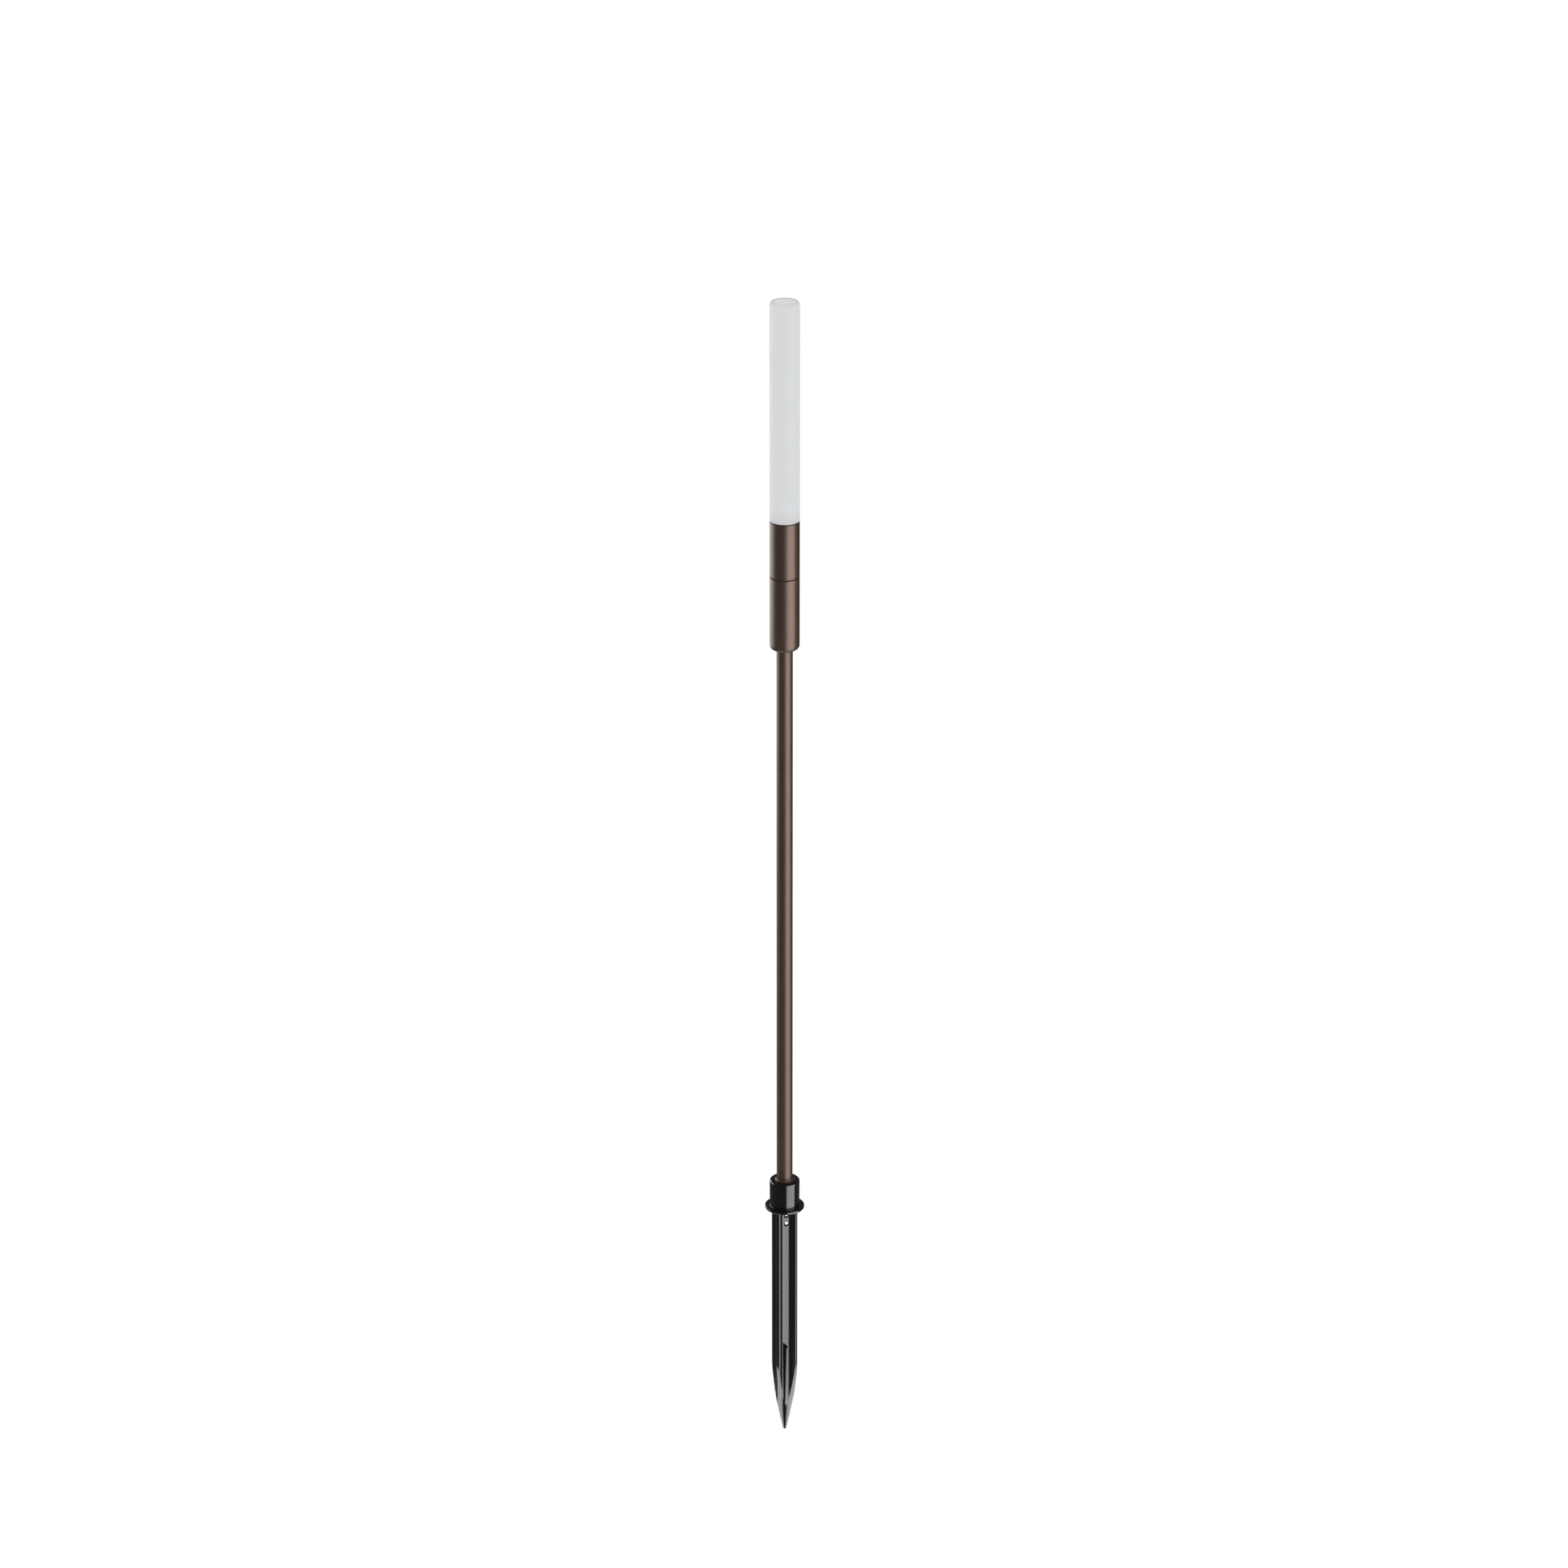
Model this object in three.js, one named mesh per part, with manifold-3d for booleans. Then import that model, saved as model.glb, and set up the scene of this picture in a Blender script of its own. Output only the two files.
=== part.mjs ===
// A low-voltage LED garden torch: a frosted acrylic tube on a bronze two-part housing,
// a bronze stem, and a black moulded ground stake. Millimetres, +Z up. The origin is on
// the torch's axis at the ground line, which is the underside of the stake's flange.
import * as THREE from 'three';
import { mergeVertices } from 'three/addons/utils/BufferGeometryUtils.js';
import Module from 'manifold-3d';

const wasm = await Module();
wasm.setup();

// ---- driving dimensions ----
const TORCH_HEIGHT = 1143;
const SPIKE_LENGTH = 304.8;
const STEM_R = 9.525;
const STEM_WALL = 1.65;
const HOUSING_R = 17.4;
const HOUSING_WALL = 2.4;
const UPPER_HOUSING_LENGTH = 66.6;
const LOWER_HOUSING_LENGTH = 89.2;
const DIFFUSER_R = 17.6;
const DIFFUSER_WALL = 3.5;
const DIFFUSER_LENGTH = 261.7;
const CAP_T = 4;
const COLLAR_HEIGHT = 37.8;
const FLANGE_R = 23.65;
const FLANGE_T = 3.6;
const SPIKE_R = 17.2;
const SOCKET_R = 10.6;
const SOCKET_FLOOR = 19.8;
const RECESS_R = 12.2;
const RECESS_DEPTH = 3.4;
const SPIGOT_LENGTH = 15.5;
const NIPPLE_R = 7.5;
const WIRE_R = 5;
const LEDGE_WIDTH = 5;
const LEDGE_HEIGHT = 32;
const BASE_T = 4;
const BOSS_R = 9.9;
const BOSS_T = 1.8;
const SCREW_CIRCLE = 12.5;
const SCREW_HOLE_R = 1.8;
const CABLE_HOLE_R = 1.9;
const CABLE_R = 1.5;
const CABLE_Y = 7.5;
const COLUMN_HEIGHT = 262;
const COLUMN_SIDE = 11;

// ---- clearances, chamfers and counts of sides ----
const GAP = 0.3;
const RIM_SPACE = 1.5;
const GASKET_SPACE = 1.2;
const SEAL_SPACE = 1.5;
const SLACK = 0.4;
const PAD_SPACE = 1.4;
const CHAMFER = 0.4;
const FINE = 40;
const COARSE = 24;
const SMALL = 12;

// ---- heights and radii worked out from them ----
const DIFFUSER_FOOT = TORCH_HEIGHT - DIFFUSER_LENGTH;
const RIM_FOOT = DIFFUSER_FOOT - RIM_SPACE;
const JOINT_TOP = RIM_FOOT - UPPER_HOUSING_LENGTH;
const JOINT_FOOT = JOINT_TOP - GASKET_SPACE;
const HOUSING_FOOT = JOINT_FOOT - LOWER_HOUSING_LENGTH;
const BORE_R = HOUSING_R - HOUSING_WALL;
const SPIGOT_R = BORE_R - SLACK;
const STEM_BORE_R = STEM_R - STEM_WALL;
const DIFFUSER_BORE_R = DIFFUSER_R - DIFFUSER_WALL;
const RECESS_FLOOR = COLLAR_HEIGHT - RECESS_DEPTH;
const FOOT_SEAT = RECESS_FLOOR + SEAL_SPACE;
const STEM_FOOT = FOOT_SEAT + 2.6;
const HUB_SEAT = HOUSING_FOOT + 5;
const HUB_TOP = HOUSING_FOOT + 10.2;
const NIPPLE_HOLE_R = NIPPLE_R + SLACK;
const LEDGE_R = BORE_R - LEDGE_WIDTH;
const LEDGE_TOP = JOINT_TOP + LEDGE_HEIGHT;
const BASE_FOOT = LEDGE_TOP + PAD_SPACE;
const BASE_TOP = BASE_FOOT + BASE_T;
const COLUMN_FOOT = BASE_TOP + BOSS_T;

// ---- finishes ----
const finish = (color, roughness, metalness) => ({ color, roughness, metalness });
const BRONZE = finish(0x4a372d, 0.42, 0.5);
const BLACK_PLASTIC = finish(0x111113, 0.2, 0);
const FROSTED_ACRYLIC = finish(0xe4e6e8, 0.55, 0);
const RUBBER = finish(0x161616, 0.85, 0);
const ALUMINIUM = finish(0xb9bcc0, 0.35, 0.9);
const BRASS = finish(0xb08d3f, 0.35, 0.9);
const STEEL = finish(0x9a9ca0, 0.3, 0.9);
const BOARD_WHITE = finish(0xf0f0ea, 0.6, 0);
const BOARD_GREEN = finish(0x1f5a34, 0.55, 0);
const WHITE_PLASTIC = finish(0xdcdcd6, 0.5, 0);

// ---- solids ----
const point = (x, y) => new THREE.Vector2(x, y);

/** Points of an arc about (cx, cy), from one angle to another in degrees. */
function arc(cx, cy, r, from, to, steps = 4) {
  return Array.from({ length: steps + 1 }, (_, i) => {
    const a = THREE.MathUtils.degToRad(from + ((to - from) * i) / steps);
    return point(cx + r * Math.cos(a), cy + r * Math.sin(a));
  });
}

/** Keep only positions, merge shared vertices and drop triangles that have no area. */
function welded(geometry) {
  const bare = geometry.clone();
  bare.deleteAttribute('normal');
  bare.deleteAttribute('uv');
  const merged = mergeVertices(bare, 1e-4);
  const index = merged.getIndex().array;
  const kept = [];
  for (let i = 0; i < index.length; i += 3) {
    const [a, b, c] = [index[i], index[i + 1], index[i + 2]];
    if (a !== b && b !== c && c !== a) kept.push(a, b, c);
  }
  merged.setIndex(kept);
  return merged;
}

/** Six times the signed volume: negative when the faces point inwards. */
function signedVolume(geometry) {
  const p = geometry.getAttribute('position');
  const index = geometry.getIndex().array;
  const [a, b, c] = [new THREE.Vector3(), new THREE.Vector3(), new THREE.Vector3()];
  let sum = 0;
  for (let i = 0; i < index.length; i += 3) {
    a.fromBufferAttribute(p, index[i]);
    b.fromBufferAttribute(p, index[i + 1]);
    c.fromBufferAttribute(p, index[i + 2]);
    sum += a.dot(b.cross(c));
  }
  return sum;
}

/** A manifold solid of a closed geometry, with its faces turned outwards. */
function solid(geometry) {
  const mesh = welded(geometry);
  const triangles = Array.from(mesh.getIndex().array);
  if (signedVolume(mesh) < 0) triangles.reverse();
  return new wasm.Manifold(new wasm.Mesh({
    numProp: 3,
    vertProperties: new Float32Array(mesh.getAttribute('position').array),
    triVerts: new Uint32Array(triangles),
  }));
}

/** The geometry of a manifold solid. */
function geometryOf(manifold) {
  const mesh = manifold.getMesh();
  const geometry = new THREE.BufferGeometry();
  geometry.setAttribute('position', new THREE.BufferAttribute(mesh.vertProperties, 3));
  geometry.setIndex(new THREE.BufferAttribute(mesh.triVerts, 1));
  return geometry;
}

/** A profile of (radius, height) points turned about +Z. */
function turned(profile, segments = COARSE) {
  const geometry = new THREE.LatheGeometry(profile, segments);
  geometry.rotateX(Math.PI / 2);
  return solid(geometry);
}

/** A closed loop of (radius, height) pairs turned about +Z, such as a tube or a ring. */
function turnedLoop(pairs, segments = COARSE) {
  const loop = pairs.map(([r, z]) => point(r, z));
  return turned([...loop, loop[0].clone()], segments);
}

/** A tube between two radii and two heights. */
const tube = (inner, outer, low, high, segments = COARSE) =>
  turnedLoop([[outer, low], [outer, high], [inner, high], [inner, low]], segments);

/** A solid cylinder about the axis through (x, y). */
function rod(radius, low, high, { x = 0, y = 0, segments = COARSE } = {}) {
  const geometry = new THREE.CylinderGeometry(radius, radius, high - low, segments);
  geometry.rotateX(Math.PI / 2);
  geometry.translate(x, y, (low + high) / 2);
  return solid(geometry);
}

/** A box given by its lowest and highest corners. */
function block([x0, y0, z0], [x1, y1, z1]) {
  const geometry = new THREE.BoxGeometry(x1 - x0, y1 - y0, z1 - z0);
  geometry.translate((x0 + x1) / 2, (y0 + y1) / 2, (z0 + z1) / 2);
  return solid(geometry);
}

/** A ring of round section. */
function ring(radius, section, height, segments = FINE) {
  const geometry = new THREE.TorusGeometry(radius, section, 8, segments);
  geometry.translate(0, 0, height);
  return solid(geometry);
}

/** An upright prism of an outline in X and Y, given as pairs. */
function prism(pairs, low, high) {
  const shape = new THREE.Shape(pairs.map(([x, y]) => point(x, y)));
  const geometry = new THREE.ExtrudeGeometry(shape, { depth: high - low, bevelEnabled: false });
  geometry.translate(0, 0, low);
  return solid(geometry);
}

const joined = (first, ...others) => others.reduce((sum, other) => sum.add(other), first);
const cut = (first, ...others) => others.reduce((rest, other) => rest.subtract(other), first);

/** A pan-head screw along +Z: the head's underside at zero, the shank below it. */
function screw(shankR, shankLength, headR, headHeight) {
  const slotHalfWidth = 0.4;
  const slotFoot = headHeight - 0.8;
  const slot = block([-headR, -slotHalfWidth, slotFoot], [headR, slotHalfWidth, headHeight + 1]);
  const body = turned([
    point(0, -shankLength),
    point(shankR * 0.6, -shankLength),
    point(shankR, -shankLength + shankR * 0.7),
    point(shankR, 0),
    point(headR, 0),
    point(headR, headHeight * 0.55),
    point(headR * 0.7, headHeight),
    point(0, headHeight),
  ], 16);
  return cut(body, slot);
}

/** One named sub-part. */
function part(name, { color, roughness, metalness }, shape, place = {}) {
  const material = new THREE.MeshStandardMaterial({ color, roughness, metalness });
  const mesh = new THREE.Mesh(geometryOf(shape), material);
  mesh.name = name;
  mesh.position.set(...(place.at ?? [0, 0, 0]));
  mesh.rotation.set(...(place.turn ?? [0, 0, 0]));
  return mesh;
}

// ---- ground stake ----
const FLUTE_HALF_ANGLE = 36.5;
const FLUTE_R = 14.75;
const FLUTE_AZIMUTH = 16.5;
const FLUTE_TOP = -0.01;
const SHOULDER = -229;
const FACET_TOP = -206;
const FACET_TILT = 7.9;
const TIP_R = 2.2;
const WIRE_HOLE_R = 3;
const WIRE_HOLE_X = 1.9;
const WIRE_HOLES = [-7.5, -19];
const WIRE_WELL = -38;
const WINDOW_LEFT = 0.4;
const WINDOW_RIGHT = 6.6;
const WINDOW_TOP = -4;
const GROOVE_FLOOR = 3.4;
const FACET_AZIMUTHS = [-44, 46, 136, 226];
const QUARTERS = [0, 90, 180, 270];

/** Direction at an azimuth in degrees, counted from -Y towards +X. */
function azimuth(degrees) {
  const a = THREE.MathUtils.degToRad(degrees);
  return [Math.sin(a), -Math.cos(a)];
}

/** Four round-bottomed flutes that leave four ribs between them. */
function flutes() {
  const half = THREE.MathUtils.degToRad(FLUTE_HALF_ANGLE);
  const reach = SPIKE_R * Math.sin(half);
  const centre = SPIKE_R * Math.cos(half) + Math.sqrt(FLUTE_R ** 2 - reach ** 2);
  return QUARTERS.map((turn) => {
    const [x, y] = azimuth(FLUTE_AZIMUTH + turn).map((value) => value * centre);
    return rod(FLUTE_R, -SPIKE_LENGTH - 1, FLUTE_TOP, { x, y, segments: 64 });
  });
}

/** Four flat faces that sharpen the point, each leaning in towards the tip. */
function facets() {
  const tilt = THREE.MathUtils.degToRad(FACET_TILT);
  const [width, depth, height] = [60, 30, 240];
  return FACET_AZIMUTHS.map((turn) => {
    const geometry = new THREE.BoxGeometry(width, depth, height);
    geometry.translate(0, -depth / 2, 0);
    geometry.rotateX(tilt);
    geometry.translate(0, -SPIKE_R, FACET_TOP);
    geometry.rotateZ(THREE.MathUtils.degToRad(turn));
    return solid(geometry);
  });
}

/** A narrow groove down the front of the point, with a slanting top edge. */
function pointGroove() {
  const outline = [[-2, -179], [4.2, -186.5], [2.3, -190], [-0.2, -302], [-1.1, -302], [-2.2, -190]];
  const depth = 16;
  const shape = new THREE.Shape(outline.map(([x, z]) => point(x, z)));
  const geometry = new THREE.ExtrudeGeometry(shape, { depth, bevelEnabled: false });
  geometry.rotateX(Math.PI / 2);
  geometry.translate(0, -GROOVE_FLOOR, 0);
  return solid(geometry);
}

/** The spike below the flange: round in plan, fluted, and drawn in to a blunt tip. */
function spike() {
  const envelope = turned([
    ...arc(0, TIP_R - SPIKE_LENGTH, TIP_R, -90, -10, 4),
    point(SPIKE_R, SHOULDER),
    point(SPIKE_R, 1),
    point(0, 1),
  ], FINE);
  const groove = pointGroove();
  return cut(envelope, ...flutes(), ...facets(), groove, groove.rotate([0, 0, 180]));
}

/** Collar and flange above the ground line. */
function collar() {
  const rimR = 18.07;
  const footR = 17.8;
  const edge = 1.2;
  const fillet = 0.8;
  const round = 2.7;
  return turned([
    point(0, 0),
    ...arc(FLANGE_R - edge, edge, edge, -90, 0, 3),
    ...arc(FLANGE_R - edge, FLANGE_T - edge, edge, 0, 90, 3),
    ...arc(footR + fillet, FLANGE_T + fillet, fillet, 270, 180, 2),
    ...arc(rimR - round, COLLAR_HEIGHT - round, round, 0, 90, 5),
    point(0, COLLAR_HEIGHT),
  ], FINE);
}

/** The moulded stake with its socket, wire well, two wire holes and rear window. */
function groundStake() {
  const reach = 20;
  const socket = joined(
    rod(RECESS_R, RECESS_FLOOR, COLLAR_HEIGHT + 1, { segments: FINE }),
    rod(SOCKET_R, SOCKET_FLOOR, COLLAR_HEIGHT, { segments: FINE }),
    rod(WIRE_R, WIRE_WELL, SOCKET_FLOOR + 1),
  );
  const holes = WIRE_HOLES.map((z) => {
    const geometry = new THREE.CylinderGeometry(WIRE_HOLE_R, WIRE_HOLE_R, reach, COARSE);
    geometry.translate(WIRE_HOLE_X, -reach / 2, z);
    return solid(geometry);
  });
  const window = block([WINDOW_LEFT, 0, WIRE_WELL], [WINDOW_RIGHT, reach, WINDOW_TOP]);
  return cut(joined(collar(), spike()), socket, ...holes, window);
}

// ---- foot of the stem ----
const FOOT_SEAL_SECTION_R = 0.45;
const footSeal = () => ring(SOCKET_R + 0.6, FOOT_SEAL_SECTION_R, (RECESS_FLOOR + FOOT_SEAT) / 2);

/** The fitting that screws into the stake and holds the stem, in a cup and on a sleeve. */
function stemFoot() {
  const screwR = SOCKET_R - 0.35;
  const leadR = SOCKET_R - 1.3;
  const ringR = 11.7;
  const ringTop = FOOT_SEAT + 1.4;
  const cupR = 10.3;
  const cupFoot = FOOT_SEAT + 3.4;
  const cupTop = STEM_FOOT + 2.4;
  const sleeveTop = STEM_FOOT + 18;
  const spigotFoot = SOCKET_FLOOR + 0.8;
  return turnedLoop([
    [screwR, spigotFoot + 1],
    [screwR, FOOT_SEAT],
    [ringR, FOOT_SEAT],
    [ringR, ringTop],
    [ringR - 0.9, ringTop + 0.7],
    [cupR, cupFoot],
    [cupR, cupTop],
    [STEM_R + GAP, cupTop],
    [STEM_R + GAP, STEM_FOOT - GAP],
    [STEM_BORE_R - GAP, STEM_FOOT - GAP],
    [STEM_BORE_R - GAP, sleeveTop],
    [WIRE_R + SLACK, sleeveTop],
    [WIRE_R + SLACK, spigotFoot],
    [leadR, spigotFoot],
  ], FINE);
}

/** The soft bush that the lead passes through at the foot of the stem. */
function cableGrommet() {
  const low = SOCKET_FLOOR + 4;
  const height = 6;
  const leadR = 2.4;
  return tube(leadR, WIRE_R + 0.1, low, low + height);
}

// ---- stem and its joint with the housing ----
const HUB_SEAL_T = 1.2;
const NIPPLE_BELOW = 18;
const NIPPLE_ABOVE = 14;
const WASHER_R = 11.6;
const WASHER_TOP = HUB_TOP + 1.5;
const NUT_ACROSS_FLATS = 21;
const LOCKNUT_T = 5.5;
const TRAY_T = 2.4;
const TRAY_NUT_T = 3;

const stemTube = () => tube(STEM_BORE_R, STEM_R, STEM_FOOT, HUB_SEAT - HUB_SEAL_T - 2 * GAP, FINE);

const hubSeal = () => tube(NIPPLE_HOLE_R, STEM_R, HUB_SEAT - GAP - HUB_SEAL_T, HUB_SEAT - GAP);

const hubNipple = () => tube(WIRE_R, NIPPLE_R, HOUSING_FOOT - NIPPLE_BELOW, HUB_TOP + NIPPLE_ABOVE);

const lockWasher = () => tube(NIPPLE_HOLE_R, WASHER_R, HUB_TOP + GAP, WASHER_TOP);

/** A hexagon nut on the nipple, between two heights. */
function hexNut(low, high) {
  const corner = NUT_ACROSS_FLATS / Math.sqrt(3);
  const hexagon = Array.from({ length: 6 }, (_, i) => {
    const a = (i * Math.PI) / 3;
    return [corner * Math.cos(a), corner * Math.sin(a)];
  });
  return cut(prism(hexagon, low, high), rod(NIPPLE_HOLE_R, low - 1, high + 1));
}

const LOCKNUT_FOOT = WASHER_TOP + GAP;
const LOCKNUT_TOP = LOCKNUT_FOOT + LOCKNUT_T;
const TRAY_FOOT = LOCKNUT_TOP + GAP;
const TRAY_NUT_FOOT = TRAY_FOOT + TRAY_T + GAP;

const locknut = () => hexNut(LOCKNUT_FOOT, LOCKNUT_TOP);

const trayNut = () => hexNut(TRAY_NUT_FOOT, TRAY_NUT_FOOT + TRAY_NUT_T);

/** The lower housing: a cup with a rounded foot, bored for the stem and the nipple. */
function lowerHousing() {
  const round = 5.6;
  const fillet = 3;
  const outline = [
    point(STEM_R + GAP, HOUSING_FOOT),
    ...arc(HOUSING_R - round, HOUSING_FOOT + round, round, -90, 0, 6),
    point(HOUSING_R, JOINT_FOOT - CHAMFER),
    point(HOUSING_R - CHAMFER, JOINT_FOOT),
    point(BORE_R, JOINT_FOOT),
    ...arc(BORE_R - fillet, HUB_TOP + fillet, fillet, 0, -90, 3),
    point(NIPPLE_HOLE_R, HUB_TOP),
    point(NIPPLE_HOLE_R, HUB_SEAT),
    point(STEM_R + GAP, HUB_SEAT),
  ];
  return turned([...outline, outline[0].clone()], FINE);
}

// ---- driver, in the lower housing ----
const TRAY_TOP = JOINT_FOOT - 24;
const TRAY_HALF_WIDTH = 13.9;
const RAIL_T = 1.5;
const BOARD_FOOT = TRAY_FOOT + 9;
const BOARD_HALF_WIDTH = 12;
const BOARD_FRONT = 2.2;
const BOARD_T = 1.5;

/** A round plastic foot over the nipple, with two side rails and an upright back. */
function driverTray() {
  const backFront = 4.2;
  const backT = 1.6;
  const backHalfWidth = TRAY_HALF_WIDTH - 1;
  const railFront = 0.6;
  const railBack = backFront + SLACK;
  const railFoot = TRAY_FOOT + 1;
  const railInner = TRAY_HALF_WIDTH - RAIL_T;
  const foot = tube(NIPPLE_HOLE_R, BORE_R - 0.5, TRAY_FOOT, TRAY_FOOT + TRAY_T);
  const backRear = backFront + backT;
  const back = block([-backHalfWidth, backFront, BOARD_FOOT - 2], [backHalfWidth, backRear, TRAY_TOP]);
  return joined(
    foot,
    back,
    block([-TRAY_HALF_WIDTH, railFront, railFoot], [-railInner, railBack, TRAY_TOP]),
    block([railInner, railFront, railFoot], [TRAY_HALF_WIDTH, railBack, TRAY_TOP]),
  );
}

/** The driver's board with a choke, a chip and a film capacitor soldered on it. */
function driverBoard() {
  const soldered = [
    { left: -6, right: 4, depth: 5, foot: 3, top: 11 },
    { left: -9, right: -3, depth: 2.2, foot: 15, top: 21 },
    { left: 3, right: 8.4, depth: 3.4, foot: 14, top: 20 },
  ];
  const board = block(
    [-BOARD_HALF_WIDTH, BOARD_FRONT, BOARD_FOOT],
    [BOARD_HALF_WIDTH, BOARD_FRONT + BOARD_T, TRAY_TOP - 1],
  );
  return joined(board, ...soldered.map(({ left, right, depth, foot, top }) => block(
    [left, BOARD_FRONT - depth, BOARD_FOOT + foot],
    [right, BOARD_FRONT + 0.1, BOARD_FOOT + top],
  )));
}

/** The electrolytic capacitor that stands on the board. */
function capacitor() {
  const radius = 3.2;
  return rod(radius, TRAY_TOP - 17, TRAY_TOP - 5, { x: 2.6, y: -1.4, segments: 20 });
}

/** A two-pole terminal block with its wire entries and screw holes. */
function terminalBlock() {
  const low = TRAY_TOP + 0.6;
  const height = 7.5;
  const halfWidth = 6;
  const [front, back, centre] = [-0.6, 7, 3.2];
  const [holeR, holeX] = [1.3, 2.6];
  const holes = [-holeX, holeX].map((x) => (
    rod(holeR, low + 2, low + height + 1.5, { x, y: centre, segments: SMALL })
  ));
  return cut(block([-halfWidth, front, low], [halfWidth, back, low + height]), ...holes);
}

// ---- joint between the housings ----
const GASKET_INNER_R = BORE_R + 0.2;
const GASKET_OUTER_R = HOUSING_R - 0.8;
const jointGasket = () => tube(GASKET_INNER_R, GASKET_OUTER_R, JOINT_FOOT + GAP, JOINT_TOP - GAP, FINE);

/** The upper housing: a sleeve with a plain spigot below and a ledge for the light engine. */
function upperHousing() {
  const lead = 0.8;
  const spigotInnerR = SPIGOT_R - 1.8;
  const spigotFoot = JOINT_FOOT - SPIGOT_LENGTH;
  const ledgeFoot = LEDGE_TOP - 4.5;
  const slopeFoot = LEDGE_TOP - 8;
  const shell = turnedLoop([
    [SPIGOT_R - lead, spigotFoot],
    [SPIGOT_R, spigotFoot + lead],
    [SPIGOT_R, JOINT_TOP],
    [HOUSING_R - CHAMFER, JOINT_TOP],
    [HOUSING_R, JOINT_TOP + CHAMFER],
    [HOUSING_R, RIM_FOOT],
    [BORE_R, RIM_FOOT],
    [BORE_R, LEDGE_TOP],
    [LEDGE_R, LEDGE_TOP],
    [LEDGE_R, ledgeFoot],
    [spigotInnerR, slopeFoot],
    [spigotInnerR, spigotFoot],
  ], FINE);
  return cut(shell, ...baseHoles(ledgeFoot - 0.1, LEDGE_TOP + 1));
}

// ---- light engine ----
const baseHoles = (low, high) =>
  [-1, 1].map((side) => rod(SCREW_HOLE_R, low, high, { x: side * SCREW_CIRCLE, segments: SMALL }));

const cableHole = (low, high) => rod(CABLE_HOLE_R, low, high, { y: CABLE_Y, segments: SMALL });

/** The soft pad that carries heat from the base into the ledge. */
const thermalPad = () => cut(
  tube(LEDGE_WIDTH, BORE_R - 0.6, LEDGE_TOP + GAP, BASE_FOOT - GAP),
  ...baseHoles(LEDGE_TOP, BASE_FOOT),
  cableHole(LEDGE_TOP, BASE_FOOT),
);

/** The aluminium disc that carries the column, with a raised boss and its holes. */
function columnBase() {
  const discR = BORE_R - 0.5;
  const disc = turned([
    point(0, BASE_FOOT),
    point(discR, BASE_FOOT),
    point(discR, BASE_TOP),
    point(BOSS_R, BASE_TOP),
    point(BOSS_R, COLUMN_FOOT - GAP),
    point(0, COLUMN_FOOT - GAP),
  ]);
  return cut(
    disc,
    ...baseHoles(BASE_FOOT - 1, BASE_TOP + 1),
    rod(SCREW_HOLE_R, BASE_FOOT - 1, COLUMN_FOOT + 1, { segments: SMALL }),
    cableHole(BASE_FOOT - 1, COLUMN_FOOT + 1),
  );
}

/** The square bar that holds the strips and carries their heat down to the housing. */
function ledColumn() {
  const half = COLUMN_SIDE / 2;
  const holeDepth = 14;
  const bar = block([-half, -half, COLUMN_FOOT], [half, half, COLUMN_FOOT + COLUMN_HEIGHT]);
  return cut(bar, rod(SCREW_HOLE_R, COLUMN_FOOT - 1, COLUMN_FOOT + holeDepth, { segments: SMALL }));
}

/** The screws that hold the base to the ledge, and the one that holds the column to the base. */
const SHANK_R = 1.45;
const baseScrew = () => screw(SHANK_R, 9.5, 2.2, 1.7);
const columnScrew = () => screw(SHANK_R, 12, 2.4, 1.8);

/** A narrow board with a row of light-emitting chips, lying on the bar's -Y face. */
function ledStrip() {
  const chips = 9;
  const foot = COLUMN_FOOT + 24;
  const length = COLUMN_HEIGHT - 30;
  const [halfWidth, thickness] = [4, 1.2];
  const margin = 5;
  const [chipHalfWidth, chipHalfHeight, chipFront, chipBack] = [1.75, 1.4, -1.9, -1];
  const pitch = (length - 2 * margin) / chips;
  const board = block([-halfWidth, -thickness, foot], [halfWidth, 0, foot + length]);
  const row = Array.from({ length: chips }, (_, i) => {
    const z = foot + margin + pitch * (i + 0.5);
    return block(
      [-chipHalfWidth, chipFront, z - chipHalfHeight],
      [chipHalfWidth, chipBack, z + chipHalfHeight],
    );
  });
  return joined(board, ...row);
}

/** A springy star that keeps the top of the column in the middle of the tube. */
function columnSpacer() {
  const low = COLUMN_FOOT + COLUMN_HEIGHT + GAP;
  const reach = DIFFUSER_BORE_R - 0.5;
  const [armWidth, thickness, hubR] = [3, 2.4, 6.5];
  const arms = [0, 60, 120].map((turn) => {
    const geometry = new THREE.BoxGeometry(reach * 2, armWidth, thickness);
    geometry.translate(0, 0, low + thickness / 2);
    geometry.rotateZ(THREE.MathUtils.degToRad(turn));
    return solid(geometry);
  });
  return joined(rod(hubR, low, low + thickness), ...arms);
}

/** The plug that joins the light engine to the driver, hanging under the base. */
function ledPlug() {
  const halfWidth = 4;
  const [front, back] = [3.4, 8.6];
  const body = block([-halfWidth, front, LEDGE_TOP - 9], [halfWidth, back, LEDGE_TOP - 0.2]);
  return joined(body, rod(CABLE_R, LEDGE_TOP - 1, COLUMN_FOOT + 3, { y: CABLE_Y, segments: SMALL }));
}

// ---- diffuser ----
const SEAL_GROOVE_FOOT = RIM_FOOT - 7.4;
const SEAL_GROOVE_TOP = RIM_FOOT - 4.4;
const SEAL_SECTION_R = 0.6;

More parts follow.
